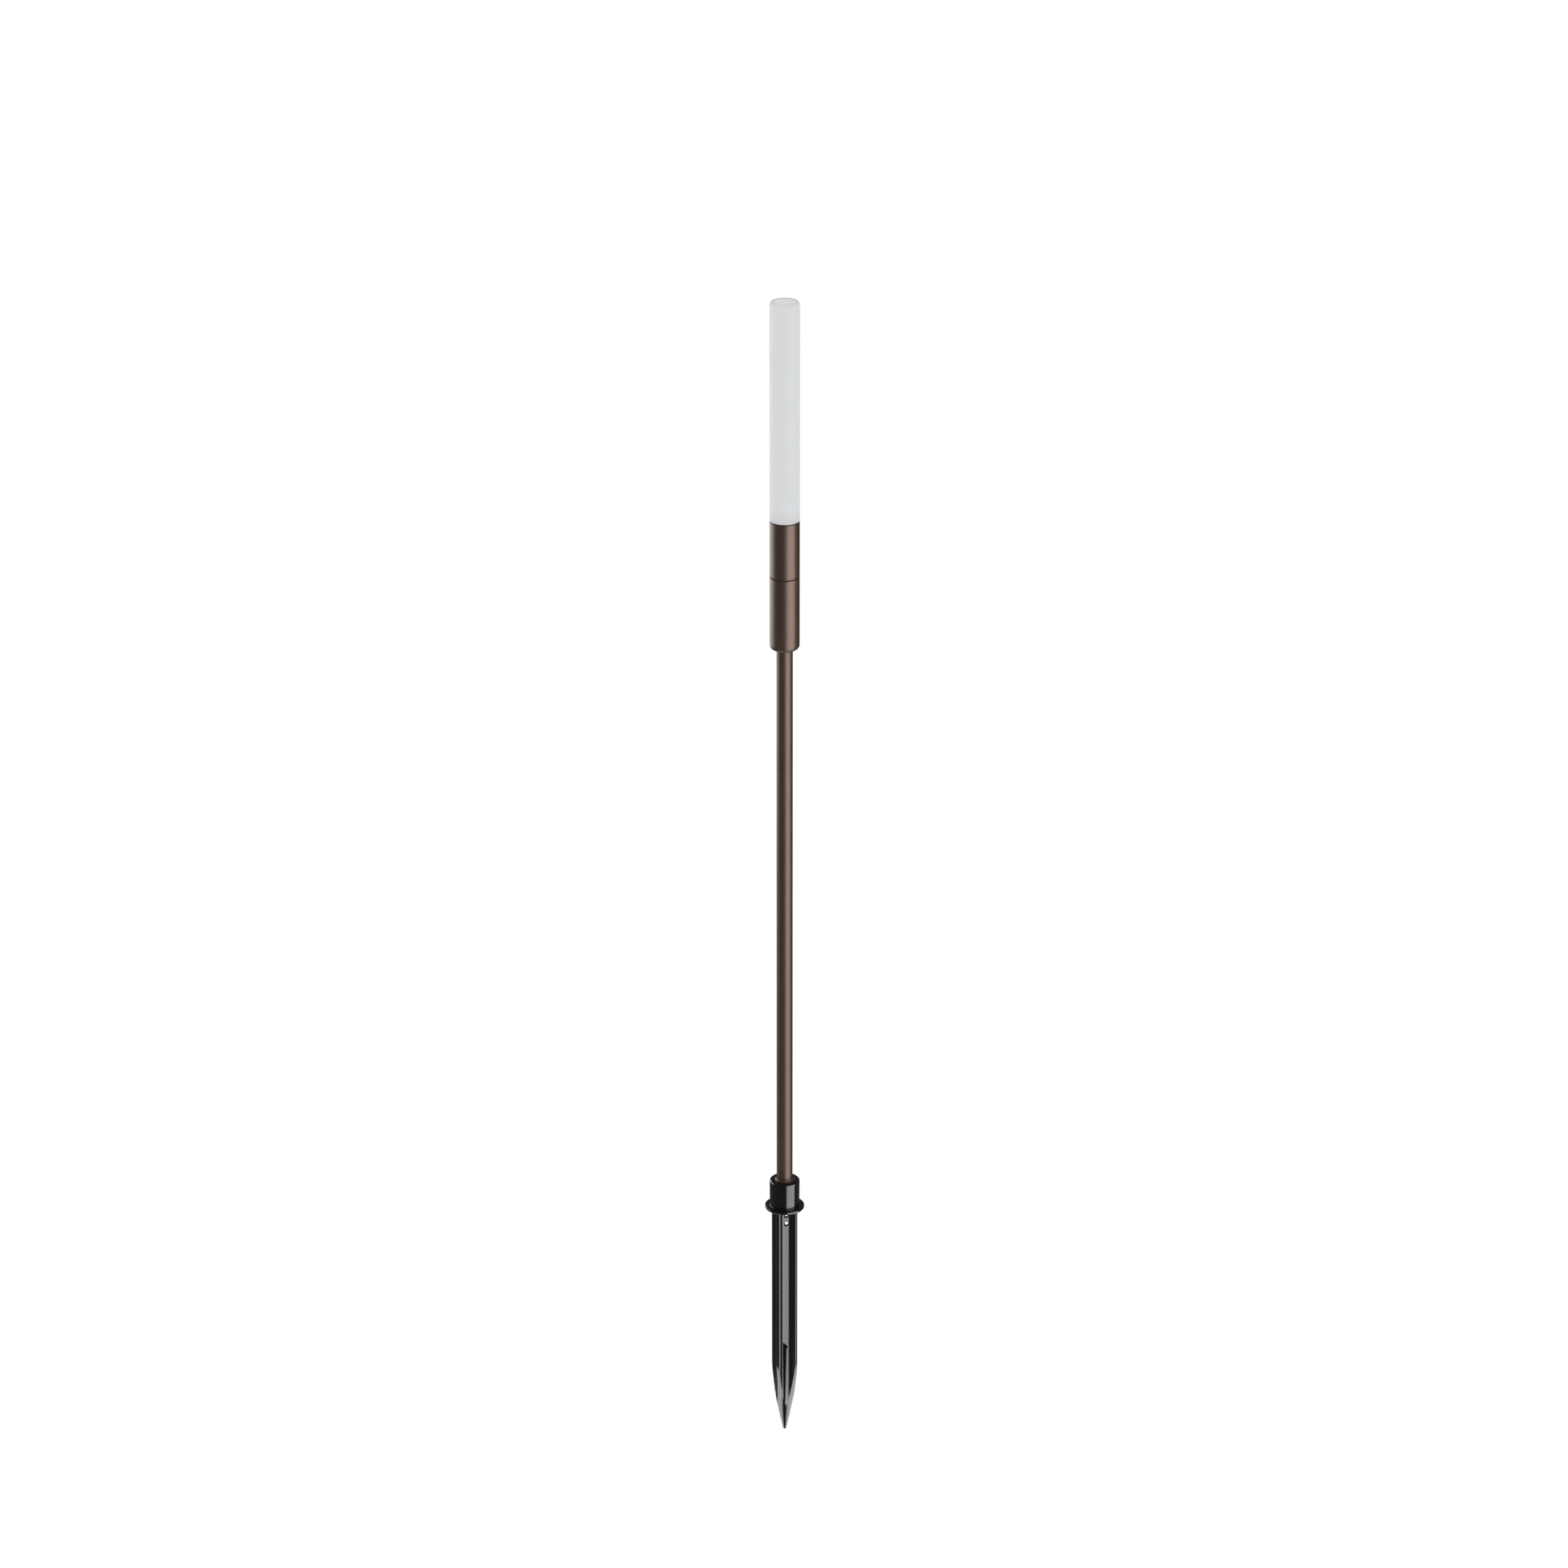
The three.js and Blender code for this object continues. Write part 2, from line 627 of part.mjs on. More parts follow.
/** The black collar between the housing and the tube: a spigot below, a thin rim, a sleeve above. */
function diffuserCollar() {
  const foot = RIM_FOOT - 15;
  const sleeveTop = DIFFUSER_FOOT + 10;
  const lead = 0.6;
  const wall = 1.4;
  const rimR = HOUSING_R - 0.1;
  const grooveR = SPIGOT_R - 1.6;
  const sleeveR = DIFFUSER_BORE_R - GAP;
  return turnedLoop([
    [SPIGOT_R - lead, foot],
    [SPIGOT_R, foot + lead],
    [SPIGOT_R, SEAL_GROOVE_FOOT],
    [grooveR, SEAL_GROOVE_FOOT],
    [grooveR, SEAL_GROOVE_TOP],
    [SPIGOT_R, SEAL_GROOVE_TOP],
    [SPIGOT_R, RIM_FOOT + GAP],
    [rimR, RIM_FOOT + GAP],
    [rimR, DIFFUSER_FOOT - GAP],
    [sleeveR, DIFFUSER_FOOT - GAP],
    [sleeveR, sleeveTop],
    [sleeveR - wall, sleeveTop],
    [sleeveR - wall, foot],
  ], FINE);
}

const diffuserSeal = () => ring(BORE_R - 1.1, SEAL_SECTION_R, (SEAL_GROOVE_FOOT + SEAL_GROOVE_TOP) / 2);

/** The frosted tube, rounded at the top, with a lip inside that the cap rests on. */
function diffuserTube() {
  const round = 3.2;
  const edge = 0.3;
  const seat = TORCH_HEIGHT - CAP_T - GAP;
  const seatR = DIFFUSER_BORE_R + 0.2;
  const lipR = DIFFUSER_BORE_R - 0.7;
  const lipFoot = seat - 1.5;
  const outline = [
    point(DIFFUSER_R - edge, DIFFUSER_FOOT),
    point(DIFFUSER_R, DIFFUSER_FOOT + edge),
    ...arc(DIFFUSER_R - round, TORCH_HEIGHT - round, round, 0, 90, 5),
    point(seatR, TORCH_HEIGHT),
    point(seatR, seat),
    point(lipR, seat),
    point(lipR, lipFoot),
    point(DIFFUSER_BORE_R, lipFoot - 0.7),
    point(DIFFUSER_BORE_R, DIFFUSER_FOOT),
  ];
  return turned([...outline, outline[0].clone()], FINE);
}

const diffuserCap = () => rod(
  DIFFUSER_BORE_R - 0.1,
  TORCH_HEIGHT - CAP_T,
  TORCH_HEIGHT - 0.2,
  { segments: FINE },
);

// ---- assembly ----
function stakeGroup() {
  const group = new THREE.Group();
  group.add(part('ground_stake', BLACK_PLASTIC, groundStake()));
  group.add(part('foot_seal', RUBBER, footSeal()));
  return group;
}

function postGroup() {
  const group = new THREE.Group();
  group.add(
    part('stem_foot', BRONZE, stemFoot()),
    part('cable_grommet', RUBBER, cableGrommet()),
    part('stem_tube', BRONZE, stemTube()),
    part('hub_seal', RUBBER, hubSeal()),
    part('hub_nipple', BRASS, hubNipple()),
    part('lower_housing', BRONZE, lowerHousing()),
    part('hub_lock_washer', STEEL, lockWasher()),
    part('hub_locknut', STEEL, locknut()),
    part('tray_nut', STEEL, trayNut()),
    part('driver_tray', WHITE_PLASTIC, driverTray()),
    part('driver_board', BOARD_GREEN, driverBoard()),
    part('driver_capacitor', BLACK_PLASTIC, capacitor()),
    part('terminal_block', WHITE_PLASTIC, terminalBlock()),
  );
  return group;
}

function headGroup() {
  const group = new THREE.Group();
  group.add(
    part('joint_gasket', RUBBER, jointGasket()),
    part('upper_housing', BRONZE, upperHousing()),
    part('thermal_pad', RUBBER, thermalPad()),
    part('column_base', ALUMINIUM, columnBase()),
    part('column_screw', STEEL, columnScrew(), { at: [0, 0, BASE_FOOT - GAP], turn: [Math.PI, 0, 0] }),
    part('led_column', ALUMINIUM, ledColumn()),
    part('column_spacer', WHITE_PLASTIC, columnSpacer()),
    part('led_plug', WHITE_PLASTIC, ledPlug()),
    part('diffuser_collar', BLACK_PLASTIC, diffuserCollar()),
    part('diffuser_seal', RUBBER, diffuserSeal()),
    part('diffuser_tube', FROSTED_ACRYLIC, diffuserTube()),
    part('diffuser_cap', FROSTED_ACRYLIC, diffuserCap()),
  );
  [-SCREW_CIRCLE, SCREW_CIRCLE].forEach((x, i) => {
    group.add(part(`base_screw_${i + 1}`, STEEL, baseScrew(), { at: [x, 0, BASE_TOP + GAP] }));
  });
  for (let face = 0; face < 4; face += 1) {
    const holder = new THREE.Group();
    holder.rotation.z = (face * Math.PI) / 2;
    const at = [0, -COLUMN_SIDE / 2 - GAP, 0];
    holder.add(part(`led_strip_${face + 1}`, BOARD_WHITE, ledStrip(), { at }));
    group.add(holder);
  }
  return group;
}

const torch = new THREE.Group();
torch.add(stakeGroup(), postGroup(), headGroup());

export default torch;
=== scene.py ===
"""A low-voltage garden torch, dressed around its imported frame.

A frosted tube stands on a bronze housing and stem, and a black fluted stake holds them in the ground.
Lengths are in metres and +Z is up. The origin is on the torch's axis, in the plane of the flange's underside.
"""

import logging
import math
from collections.abc import Iterable, Sequence
from dataclasses import dataclass
from enum import Enum
from functools import cache

import bmesh
import bpy
import numpy as np
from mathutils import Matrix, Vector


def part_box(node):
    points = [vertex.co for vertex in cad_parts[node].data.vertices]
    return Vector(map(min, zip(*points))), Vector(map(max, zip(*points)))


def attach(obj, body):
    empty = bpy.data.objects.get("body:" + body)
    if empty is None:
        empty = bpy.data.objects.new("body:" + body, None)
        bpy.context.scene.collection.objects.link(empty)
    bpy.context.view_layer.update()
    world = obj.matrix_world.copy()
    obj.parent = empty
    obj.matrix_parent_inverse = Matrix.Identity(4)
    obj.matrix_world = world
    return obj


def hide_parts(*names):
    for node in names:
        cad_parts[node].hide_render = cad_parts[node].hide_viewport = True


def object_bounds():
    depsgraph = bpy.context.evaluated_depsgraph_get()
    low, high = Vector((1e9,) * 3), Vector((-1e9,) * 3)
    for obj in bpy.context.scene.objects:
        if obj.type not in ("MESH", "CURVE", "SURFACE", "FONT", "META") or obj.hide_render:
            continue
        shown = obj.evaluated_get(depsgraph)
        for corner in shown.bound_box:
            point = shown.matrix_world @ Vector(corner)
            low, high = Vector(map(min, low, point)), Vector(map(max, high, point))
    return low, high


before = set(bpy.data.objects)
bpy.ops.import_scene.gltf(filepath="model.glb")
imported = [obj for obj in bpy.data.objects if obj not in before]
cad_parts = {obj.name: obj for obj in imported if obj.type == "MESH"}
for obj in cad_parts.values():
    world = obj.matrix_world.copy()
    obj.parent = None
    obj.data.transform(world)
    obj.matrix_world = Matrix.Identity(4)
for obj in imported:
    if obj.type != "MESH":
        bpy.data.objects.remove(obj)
CAD_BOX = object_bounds()

MM = 0.001
TURN = 2 * math.pi
ROUND = 144
SMOOTH_ANGLE = math.radians(28)
INCH = 25.4 * MM
GAP = 0.3 * MM
MERGE = 1e-7

Colour = tuple[float, float, float]
Corner = tuple[float, float, float]
log = logging.getLogger("garden_torch")


# ---- shader maths ----
class Shade:
    """One value inside a material. Arithmetic on it adds the Math nodes that work it out."""

    def __init__(self, graph: "Graph", socket: bpy.types.NodeSocket) -> None:
        """Wraps an output socket.

        Args:
            graph: the material's graph that owns the socket.
            socket: the output socket that carries the value.
        """
        self.graph = graph
        self.socket = socket

    def __add__(self, other: "Shade | float") -> "Shade":
        """self + other."""
        return self.graph.math("ADD", self, other)

    def __radd__(self, other: float) -> "Shade":
        """other + self."""
        return self.graph.math("ADD", other, self)

    def __sub__(self, other: "Shade | float") -> "Shade":
        """self - other."""
        return self.graph.math("SUBTRACT", self, other)

    def __rsub__(self, other: float) -> "Shade":
        """other - self."""
        return self.graph.math("SUBTRACT", other, self)

    def __mul__(self, other: "Shade | float") -> "Shade":
        """self times other."""
        return self.graph.math("MULTIPLY", self, other)

    def __truediv__(self, other: "Shade | float") -> "Shade":
        """self over other."""
        return self.graph.math("DIVIDE", self, other)

    def __gt__(self, other: "Shade | float") -> "Shade":
        """1 where self is above other, else 0."""
        return self.graph.math("GREATER_THAN", self, other)

    def __lt__(self, other: "Shade | float") -> "Shade":
        """1 where self is below other, else 0."""
        return self.graph.math("LESS_THAN", self, other)

    def __abs__(self) -> "Shade":
        """The value without its sign."""
        return self.graph.math("ABSOLUTE", self)

    def larger(self, other: "Shade | float") -> "Shade":
        """The larger of the two values."""
        return self.graph.math("MAXIMUM", self, other)


class Graph:
    """The node tree of one material."""

    def __init__(self, name: str) -> None:
        """Starts an empty material.

        Args:
            name: the material's name.
        """
        self.material = bpy.data.materials.new(name)
        self.material.use_nodes = True
        self.tree = self.material.node_tree
        self.tree.nodes.clear()
        self.place = self.shade(self.node("ShaderNodeTexCoord"), "Object")
        self._split: bpy.types.Node | None = None

    def node(
        self,
        kind: str,
        settings: dict[str, object] | None = None,
        inputs: dict[str | int, object] | None = None,
    ) -> bpy.types.Node:
        """Adds any node.

        Args:
            kind: the node's type name.
            settings: its properties, set first; "stops" gives a ramp's (position, colour) pairs.
            inputs: a value or a Shade for each socket, by name or number.

        Returns:
            The new node.
        """
        made = self.tree.nodes.new(kind)
        for key, value in (settings or {}).items():
            if key == "stops":
                self._set_stops(made.color_ramp, value)
            else:
                setattr(made, key, value)
        for key, value in (inputs or {}).items():
            if isinstance(value, Shade):
                self.tree.links.new(value.socket, made.inputs[key])
            else:
                made.inputs[key].default_value = value
        return made

    @staticmethod
    def _set_stops(ramp: bpy.types.ColorRamp, stops: Sequence[tuple[float, float]]) -> None:
        """Gives a ramp its stops.

        Args:
            ramp: the ramp, which starts with two stops.
            stops: (position, grey level) pairs in rising order.
        """
        while len(ramp.elements) < len(stops):
            ramp.elements.new(0.5)
        for element, (position, grey) in zip(ramp.elements, stops):
            element.position = position
            element.color = (grey, grey, grey, 1.0)

    def shade(self, node: bpy.types.Node, output: str | int = 0) -> Shade:
        """An output of a node as a Shade."""
        return Shade(self, node.outputs[output])

    def math(self, operation: str, *values: Shade | float) -> Shade:
        """A Math node of the given operation on up to three values."""
        return self.shade(self.node("ShaderNodeMath", {"operation": operation}, dict(enumerate(values))))

    def axis(self, name: str) -> Shade:
        """One coordinate, X, Y or Z, of the point that is shaded."""
        if self._split is None:
            self._split = self.node("ShaderNodeSeparateXYZ", None, {0: self.place})
        return self.shade(self._split, name)

    def stretched(self, x: float, y: float, z: float) -> Shade:
        """The object coordinates with each axis scaled by its own factor."""
        return self.shade(self.node("ShaderNodeMapping", None, {"Vector": self.place, "Scale": (x, y, z)}))

    def noise(self, size: float, detail: float = 2.0, at: Shade | None = None, rough: float = 0.5) -> Shade:
        """Cloud noise from 0 to 1.

        Args:
            size: the width of one grain in metres, or in the units of at.
            detail: how many finer layers are added.
            at: the coordinates to read, or None for the object's own.
            rough: how strong the finer layers are.

        Returns:
            The noise value.
        """
        inputs = {"Vector": at or self.place, "Scale": 1 / size, "Detail": detail, "Roughness": rough}
        return self.shade(self.node("ShaderNodeTexNoise", None, inputs))

    def cells(self, size: float, distance: str = "EUCLIDEAN") -> Shade:
        """How far the nearest point of a scattered pattern is, in cell widths and by the given measure."""
        inputs = {"Vector": self.place, "Scale": 1 / size}
        return self.shade(self.node("ShaderNodeTexVoronoi", {"distance": distance}, inputs), "Distance")

    def ramp(self, value: Shade, *stops: tuple[float, float]) -> Shade:
        """A value passed through a ramp of (position, level) stops."""
        return self.shade(self.node("ShaderNodeValToRGB", {"stops": stops}, {0: value}))

    def blend(self, factor: Shade | float, first: Colour | Shade, second: Colour | Shade) -> Shade:
        """The first colour turning into the second as the factor rises from 0 to 1."""
        colours = [c if isinstance(c, Shade) else (*c, 1.0) for c in (first, second)]
        inputs = {0: factor, 6: colours[0], 7: colours[1]}
        return self.shade(self.node("ShaderNodeMix", {"data_type": "RGBA"}, inputs), 2)

    def bump(self, height: Shade, depth: float, strength: float = 1.0) -> Shade:
        """A surface normal tilted by a height from 0 to 1 that stands for a depth in metres."""
        inputs = {"Height": height, "Distance": depth, "Strength": strength}
        return self.shade(self.node("ShaderNodeBump", None, inputs))

    def finish(self, **sockets: object) -> bpy.types.Material:
        """Closes the material with a Principled surface.

        Args:
            sockets: a value or a Shade for each socket, with underscores for spaces.

        Returns:
            The material.
        """
        inputs = {key.replace("_", " "): value for key, value in sockets.items()}
        surface = self.node("ShaderNodeBsdfPrincipled", None, inputs)
        self.node("ShaderNodeOutputMaterial", None, {"Surface": self.shade(surface)})
        return self.material


# ---- finishes ----
@dataclass(frozen=True)
class Finish:
    """A named surface finish."""

    name: str

    def material(self) -> bpy.types.Material:
        """Makes the material; each kind of finish has its own."""
        raise NotImplementedError


@cache
def material_of(finish: Finish) -> bpy.types.Material:
    """The one material of a finish, however many pieces wear it."""
    return finish.material()


@dataclass(frozen=True)
class PowderCoat(Finish):
    """Bronze powder coat: brown with fine metal flake, over a slightly uneven skin."""

    deep: Colour = (0.060, 0.036, 0.025)
    warm: Colour = (0.078, 0.048, 0.034)
    flake: Colour = (0.26, 0.18, 0.14)
    grain: float = 0.9 * MM
    relief: float = 0.012 * MM
    flake_share: float = 0.25
    gloss: float = 0.36

    def material(self) -> bpy.types.Material:
        """Brown clouds, scattered flakes, and grain that tilts the surface and dulls it."""
        g = Graph(self.name)
        clouds = g.noise(14 * MM, 3.0)
        grain = g.noise(self.grain, 3.0, rough=0.65)
        flakes = g.ramp(g.cells(0.34 * MM), (0.0, 1.0), (0.22, 0.0)) * self.flake_share
        pits = g.ramp(grain, (0.3, 1.0), (0.52, 0.0))
        coat = g.blend(clouds, self.deep, self.warm)
        coat = g.blend(pits * 0.55, coat, self.deep)
        coat = g.blend(flakes, coat, self.flake)
        rough = self.gloss + (grain - 0.5) * 0.16 + (clouds - 0.5) * 0.05
        peel = g.noise(2.6 * MM, 1.0)
        return g.finish(
            Base_Color=coat,
            Metallic=0.56,
            Roughness=rough,
            Normal=g.bump(grain * 0.75 + peel * 0.25, self.relief),
        )


@dataclass(frozen=True)
class GlossBlack(Finish):
    """Black moulded plastic straight from a polished mould, with faint flow lines."""

    body: Colour = (0.0030, 0.0030, 0.0032)
    bloom: Colour = (0.0055, 0.0055, 0.0058)
    gloss: float = 0.13

    def material(self) -> bpy.types.Material:
        """Long faint flow streaks, a little bloom, and a surface that ripples very slightly."""
        g = Graph(self.name)
        flow = g.noise(1.0, 3.0, g.stretched(220.0, 220.0, 18.0))
        cloud = g.noise(9 * MM, 2.0)
        scuff = g.ramp(g.noise(1.0, 4.0, g.stretched(2600.0, 2600.0, 160.0)), (0.56, 0.0), (0.75, 1.0))
        return g.finish(
            Base_Color=g.blend(cloud * 0.7 + scuff * 0.3, self.body, self.bloom),
            Roughness=self.gloss + (flow - 0.5) * 0.06 + scuff * 0.08,
            Specular_IOR_Level=0.5,
            Normal=g.bump(flow * 0.7 + g.noise(3.2 * MM, 1.0) * 0.3, 0.014 * MM),
        )


@dataclass(frozen=True)
class FrostedAcrylic(Finish):
    """White acrylic with a fine blasted skin, its colour painted a little darker where the housing shades its
    foot.
    """

    body: Colour = (0.625, 0.637, 0.648)
    pale: Colour = (0.645, 0.655, 0.664)
    # The colour of the shade painted above the foot.
    shade: Colour = (0.50, 0.512, 0.525)
    foot: float = 0.0
    fade: float = 16 * MM

    def material(self) -> bpy.types.Material:
        """Faint milky clouds and a blasted grain, with a soft shade painted into the colour above the foot.
        """
        g = Graph(self.name)
        clouds = g.noise(22 * MM, 3.0)
        grain = g.noise(0.22 * MM, 2.0, rough=0.7)
        # Painted shade: the base colour darkens towards the shade colour over the lowest part of the tube,
        # standing in for the shade that the collar and housing cast on its foot.
        above = (g.axis("Z") - self.foot) / self.fade
        shaded = g.ramp(above, (0.0, 1.0), (0.35, 0.45), (1.0, 0.0))
        milk = g.blend(clouds, self.body, self.pale)
        return g.finish(
            Base_Color=g.blend(shaded * 0.75, milk, self.shade),
            Roughness=0.72 + (grain - 0.5) * 0.18,
            Specular_IOR_Level=0.3,
            Sheen_Weight=0.4,
            Sheen_Roughness=0.35,
            Subsurface_Weight=0.12,
            Subsurface_Scale=4 * MM,
            Normal=g.bump(grain, 0.004 * MM),
        )


@dataclass(frozen=True)
class SoftRubber(Finish):
    """Soft sealing rubber with a dusty bloom."""

    body: Colour = (0.018, 0.018, 0.018)
    bloom: Colour = (0.045, 0.044, 0.042)

    def material(self) -> bpy.types.Material:
        """Dull grain with patches of bloom."""
        g = Graph(self.name)
        patches = g.noise(3.5 * MM, 4.0)
        grain = g.noise(0.25 * MM, 2.0)
        return g.finish(
            Base_Color=g.blend(g.ramp(patches, (0.4, 0.0), (0.75, 1.0)), self.body, self.bloom),
            Roughness=0.72 + (grain - 0.5) * 0.2,
            Normal=g.bump(grain, 0.01 * MM),
        )


class Lay(Enum):
    """The way that a metal's fine tool marks run."""

    TURNED = (90.0, 90.0, 9000.0)
    DRAWN = (6500.0, 6500.0, 70.0)
    PLATED = (1500.0, 1500.0, 1500.0)


@dataclass(frozen=True)
class BareMetal(Finish):
    """Uncoated metal with tool marks that run one way."""

    body: Colour = (0.62, 0.63, 0.64)
    dull: Colour = (0.46, 0.47, 0.48)
    lay: Lay = Lay.TURNED
    gloss: float = 0.3

    def material(self) -> bpy.types.Material:
        """Fine marks along the lay over slow patches of tarnish."""
        g = Graph(self.name)
        marks = g.noise(1.0, 3.0, g.stretched(*self.lay.value), 0.7)
        patches = g.noise(6 * MM, 3.0)
        return g.finish(
            Base_Color=g.blend(patches * 0.6 + marks * 0.3, self.body, self.dull),
            Metallic=1.0,
            Roughness=self.gloss + (marks - 0.5) * 0.22 + (patches - 0.5) * 0.1,
            Normal=g.bump(marks, 0.006 * MM),
        )


@dataclass(frozen=True)
class MouldedPlastic(Finish):
    """Plastic from a spark-eroded mould, with an even grain."""

    body: Colour = (0.70, 0.70, 0.67)
    low: Colour = (0.60, 0.60, 0.57)
    grain: float = 0.35 * MM
    gloss: float = 0.48

    def material(self) -> bpy.types.Material:
        """Even grain over slow, faint clouding."""
        g = Graph(self.name)
        clouds = g.noise(8 * MM, 3.0)
        grain = g.noise(self.grain, 2.0, rough=0.6)
        return g.finish(
            Base_Color=g.blend(clouds * 0.7 + grain * 0.25, self.body, self.low),
            Roughness=self.gloss + (grain - 0.5) * 0.2,
            Normal=g.bump(grain, 0.012 * MM),
        )


@dataclass(frozen=True)
class CircuitBoard(Finish):
    """Green solder mask over copper tracks, with tinned pads."""

    mask: Colour = (0.012, 0.10, 0.040)
    track: Colour = (0.030, 0.20, 0.075)
    solder: Colour = (0.55, 0.55, 0.53)

    def material(self) -> bpy.types.Material:
        """Square-cornered tracks as the bands of a coarse grid, and round pads scattered among them."""
        g = Graph(self.name)
        tracks = g.ramp(g.cells(3.1 * MM, "CHEBYCHEV"), (0.30, 0.0), (0.33, 1.0), (0.42, 1.0), (0.45, 0.0))
        pads = g.ramp(g.cells(2.4 * MM), (0.15, 1.0), (0.18, 0.0))
        green = g.blend(tracks, self.mask, self.track)
        return g.finish(
            Base_Color=g.blend(pads, green, self.solder),
            Metallic=pads * 0.9,
            Roughness=0.32 + (1 - pads) * 0.08,
            Normal=g.bump(tracks * 0.6 + pads * 0.4, 0.03 * MM),
        )


@dataclass(frozen=True)
class LightStrip(Finish):
    """White solder mask with yellow phosphor chips that stand proud of it."""

    mask: Colour = (0.80, 0.80, 0.77)
    dusty: Colour = (0.66, 0.66, 0.62)
    phosphor: Colour = (0.78, 0.58, 0.12)
    chip_level: float = 7.2 * MM
    window: float = 1.15 * MM

    def material(self) -> bpy.types.Material:
        """Yellow where the face is further out than the board and close to its middle line."""
        g = Graph(self.name)
        x, y = abs(g.axis("X")), abs(g.axis("Y"))
        proud = x.larger(y) > self.chip_level
        middle = g.math("MINIMUM", x, y) < self.window
        grain = g.noise(0.3 * MM, 2.0)
        lit = proud * middle
        return g.finish(
            Base_Color=g.blend(lit, g.blend(grain * 0.3, self.mask, self.dusty), self.phosphor),
            Roughness=0.42 + (grain - 0.5) * 0.15 - lit * 0.12,
            Normal=g.bump(grain, 0.01 * MM),
        )


SMOOTH_BRONZE = PowderCoat("bronze_smooth")
TEXTURED_BRONZE = PowderCoat("bronze_textured", grain=0.55 * MM, relief=0.05 * MM, flake_share=0.4, gloss=0.4)
BLACK_STAKE = GlossBlack("black_gloss")
BLACK_TRIM = MouldedPlastic("black_trim", (0.010, 0.010, 0.011), (0.016, 0.016, 0.017), gloss=0.4)
BLACK_SLEEVE = GlossBlack("black_sleeve", gloss=0.3)
RUBBER = SoftRubber("rubber")
HEAT_PAD = SoftRubber("grey_pad", (0.16, 0.17, 0.18), (0.24, 0.25, 0.26))
TURNED_ALUMINIUM = BareMetal("aluminium_turned")
DRAWN_ALUMINIUM = BareMetal("aluminium_drawn", lay=Lay.DRAWN, gloss=0.34)
BRASS = BareMetal("brass", (0.60, 0.43, 0.17), (0.42, 0.28, 0.10))
ZINC_STEEL = BareMetal("zinc_steel", (0.50, 0.51, 0.54), (0.36, 0.37, 0.39), Lay.PLATED, 0.32)
WHITE_PLASTIC = MouldedPlastic("white_plastic")
BOARD = CircuitBoard("circuit_board")
STRIP = LightStrip("led_board")


# ---- surfaces ----
def rounded(corners: Iterable[Corner], steps: int = 6) -> np.ndarray:
    """An outline with its corners rounded.

    A corner of fillet f between two edges that meet at the angle A becomes an arc about a centre on the
    corner's bisector, f over sin(A/2) away. The arc starts and ends f over tan(A/2) from the corner, and one
    more point a quarter of f further along each edge keeps the shading of the edge flat.

    Args:
        corners: (radius, height, fillet) of each corner in order along an open outline.
        steps: straight pieces in each arc.

    Returns:
        An array of (radius, height) rows.
    """
    given = np.array(list(corners), float)
    spots, fillets = given[:, :2], given[:, 2]
    pieces = [spots[:1]]
    for before, here, after, fillet in zip(spots, spots[1:], spots[2:], fillets[1:]):
        back, ahead = before - here, after - here
        back, ahead = back / np.linalg.norm(back), ahead / np.linalg.norm(ahead)
        half = 0.5 * math.acos(float(np.clip(back @ ahead, -1.0, 1.0)))
        if fillet <= 0 or half > math.pi / 2 - 1e-4:
            pieces.append(here[None])
            continue
        centre = here + (back + ahead) / np.linalg.norm(back + ahead) * fillet / math.sin(half)
        reach = fillet / math.tan(half)
        ends = here + back * reach - centre, here + ahead * reach - centre
        share = np.linspace(0.0, 1.0, steps + 1)[:, None]
        sweep = math.pi - 2 * half
        arc = (np.sin((1 - share) * sweep) * ends[0] + np.sin(share * sweep) * ends[1]) / math.sin(sweep)
        margin = fillet / 4
        pieces += [here + back * (reach + margin) + np.zeros((1, 2)), centre + arc]
        pieces += [here + ahead * (reach + margin) + np.zeros((1, 2))]
    pieces.append(spots[-1:])
    return np.concatenate(pieces)


def mesh_piece(name: str, grid: np.ndarray, loop: bool = False) -> bpy.types.Object:
    """A closed piece from a grid of points that wraps round along its second direction.

    Each cell of the grid is one face. Rows that shrink to a point are merged into a pole.

    Args:
        name: the piece's name.
        grid: points as an array of rows, columns and coordinates.
        loop: whether the last row joins the first.

    Returns:
        The object, at the origin, with its faces outward.
    """
    rows, columns = grid.shape[:2]
    below = np.arange(rows if loop else rows - 1)
    row, column = np.meshgrid(below, np.arange(columns), indexing="ij")
    up, right = (row + 1) % rows, (column + 1) % columns
    corners = [row * columns + column, row * columns + right, up * columns + right, up * columns + column]
    faces = np.stack(corners, -1).reshape(-1, 4)
    points = grid.reshape(-1, 3)
    a, b, c, d = (points[faces[:, i]] for i in range(4))
    volume = np.sum(a * np.cross(b, c)) + np.sum(a * np.cross(c, d))
    if volume < 0:
        faces = faces[:, ::-1]
    mesh = bpy.data.meshes.new(name)
    mesh.from_pydata(points, [], faces)
    work = bmesh.new()
    work.from_mesh(mesh)
    bmesh.ops.remove_doubles(work, verts=work.verts, dist=MERGE)
    bmesh.ops.dissolve_degenerate(work, edges=work.edges, dist=MERGE / 10)
    work.to_mesh(mesh)
    work.free()
    piece = bpy.data.objects.new(name, mesh)
    bpy.context.scene.collection.objects.link(piece)
    smooth(piece)
    return piece


def smooth(piece: bpy.types.Object) -> None:
    """Shades a piece smooth, with every edge sharper than the limit left crisp."""
    piece.data.polygons.foreach_set("use_smooth", np.ones(len(piece.data.polygons), bool))
    piece.data.set_sharp_from_angle(angle=SMOOTH_ANGLE)


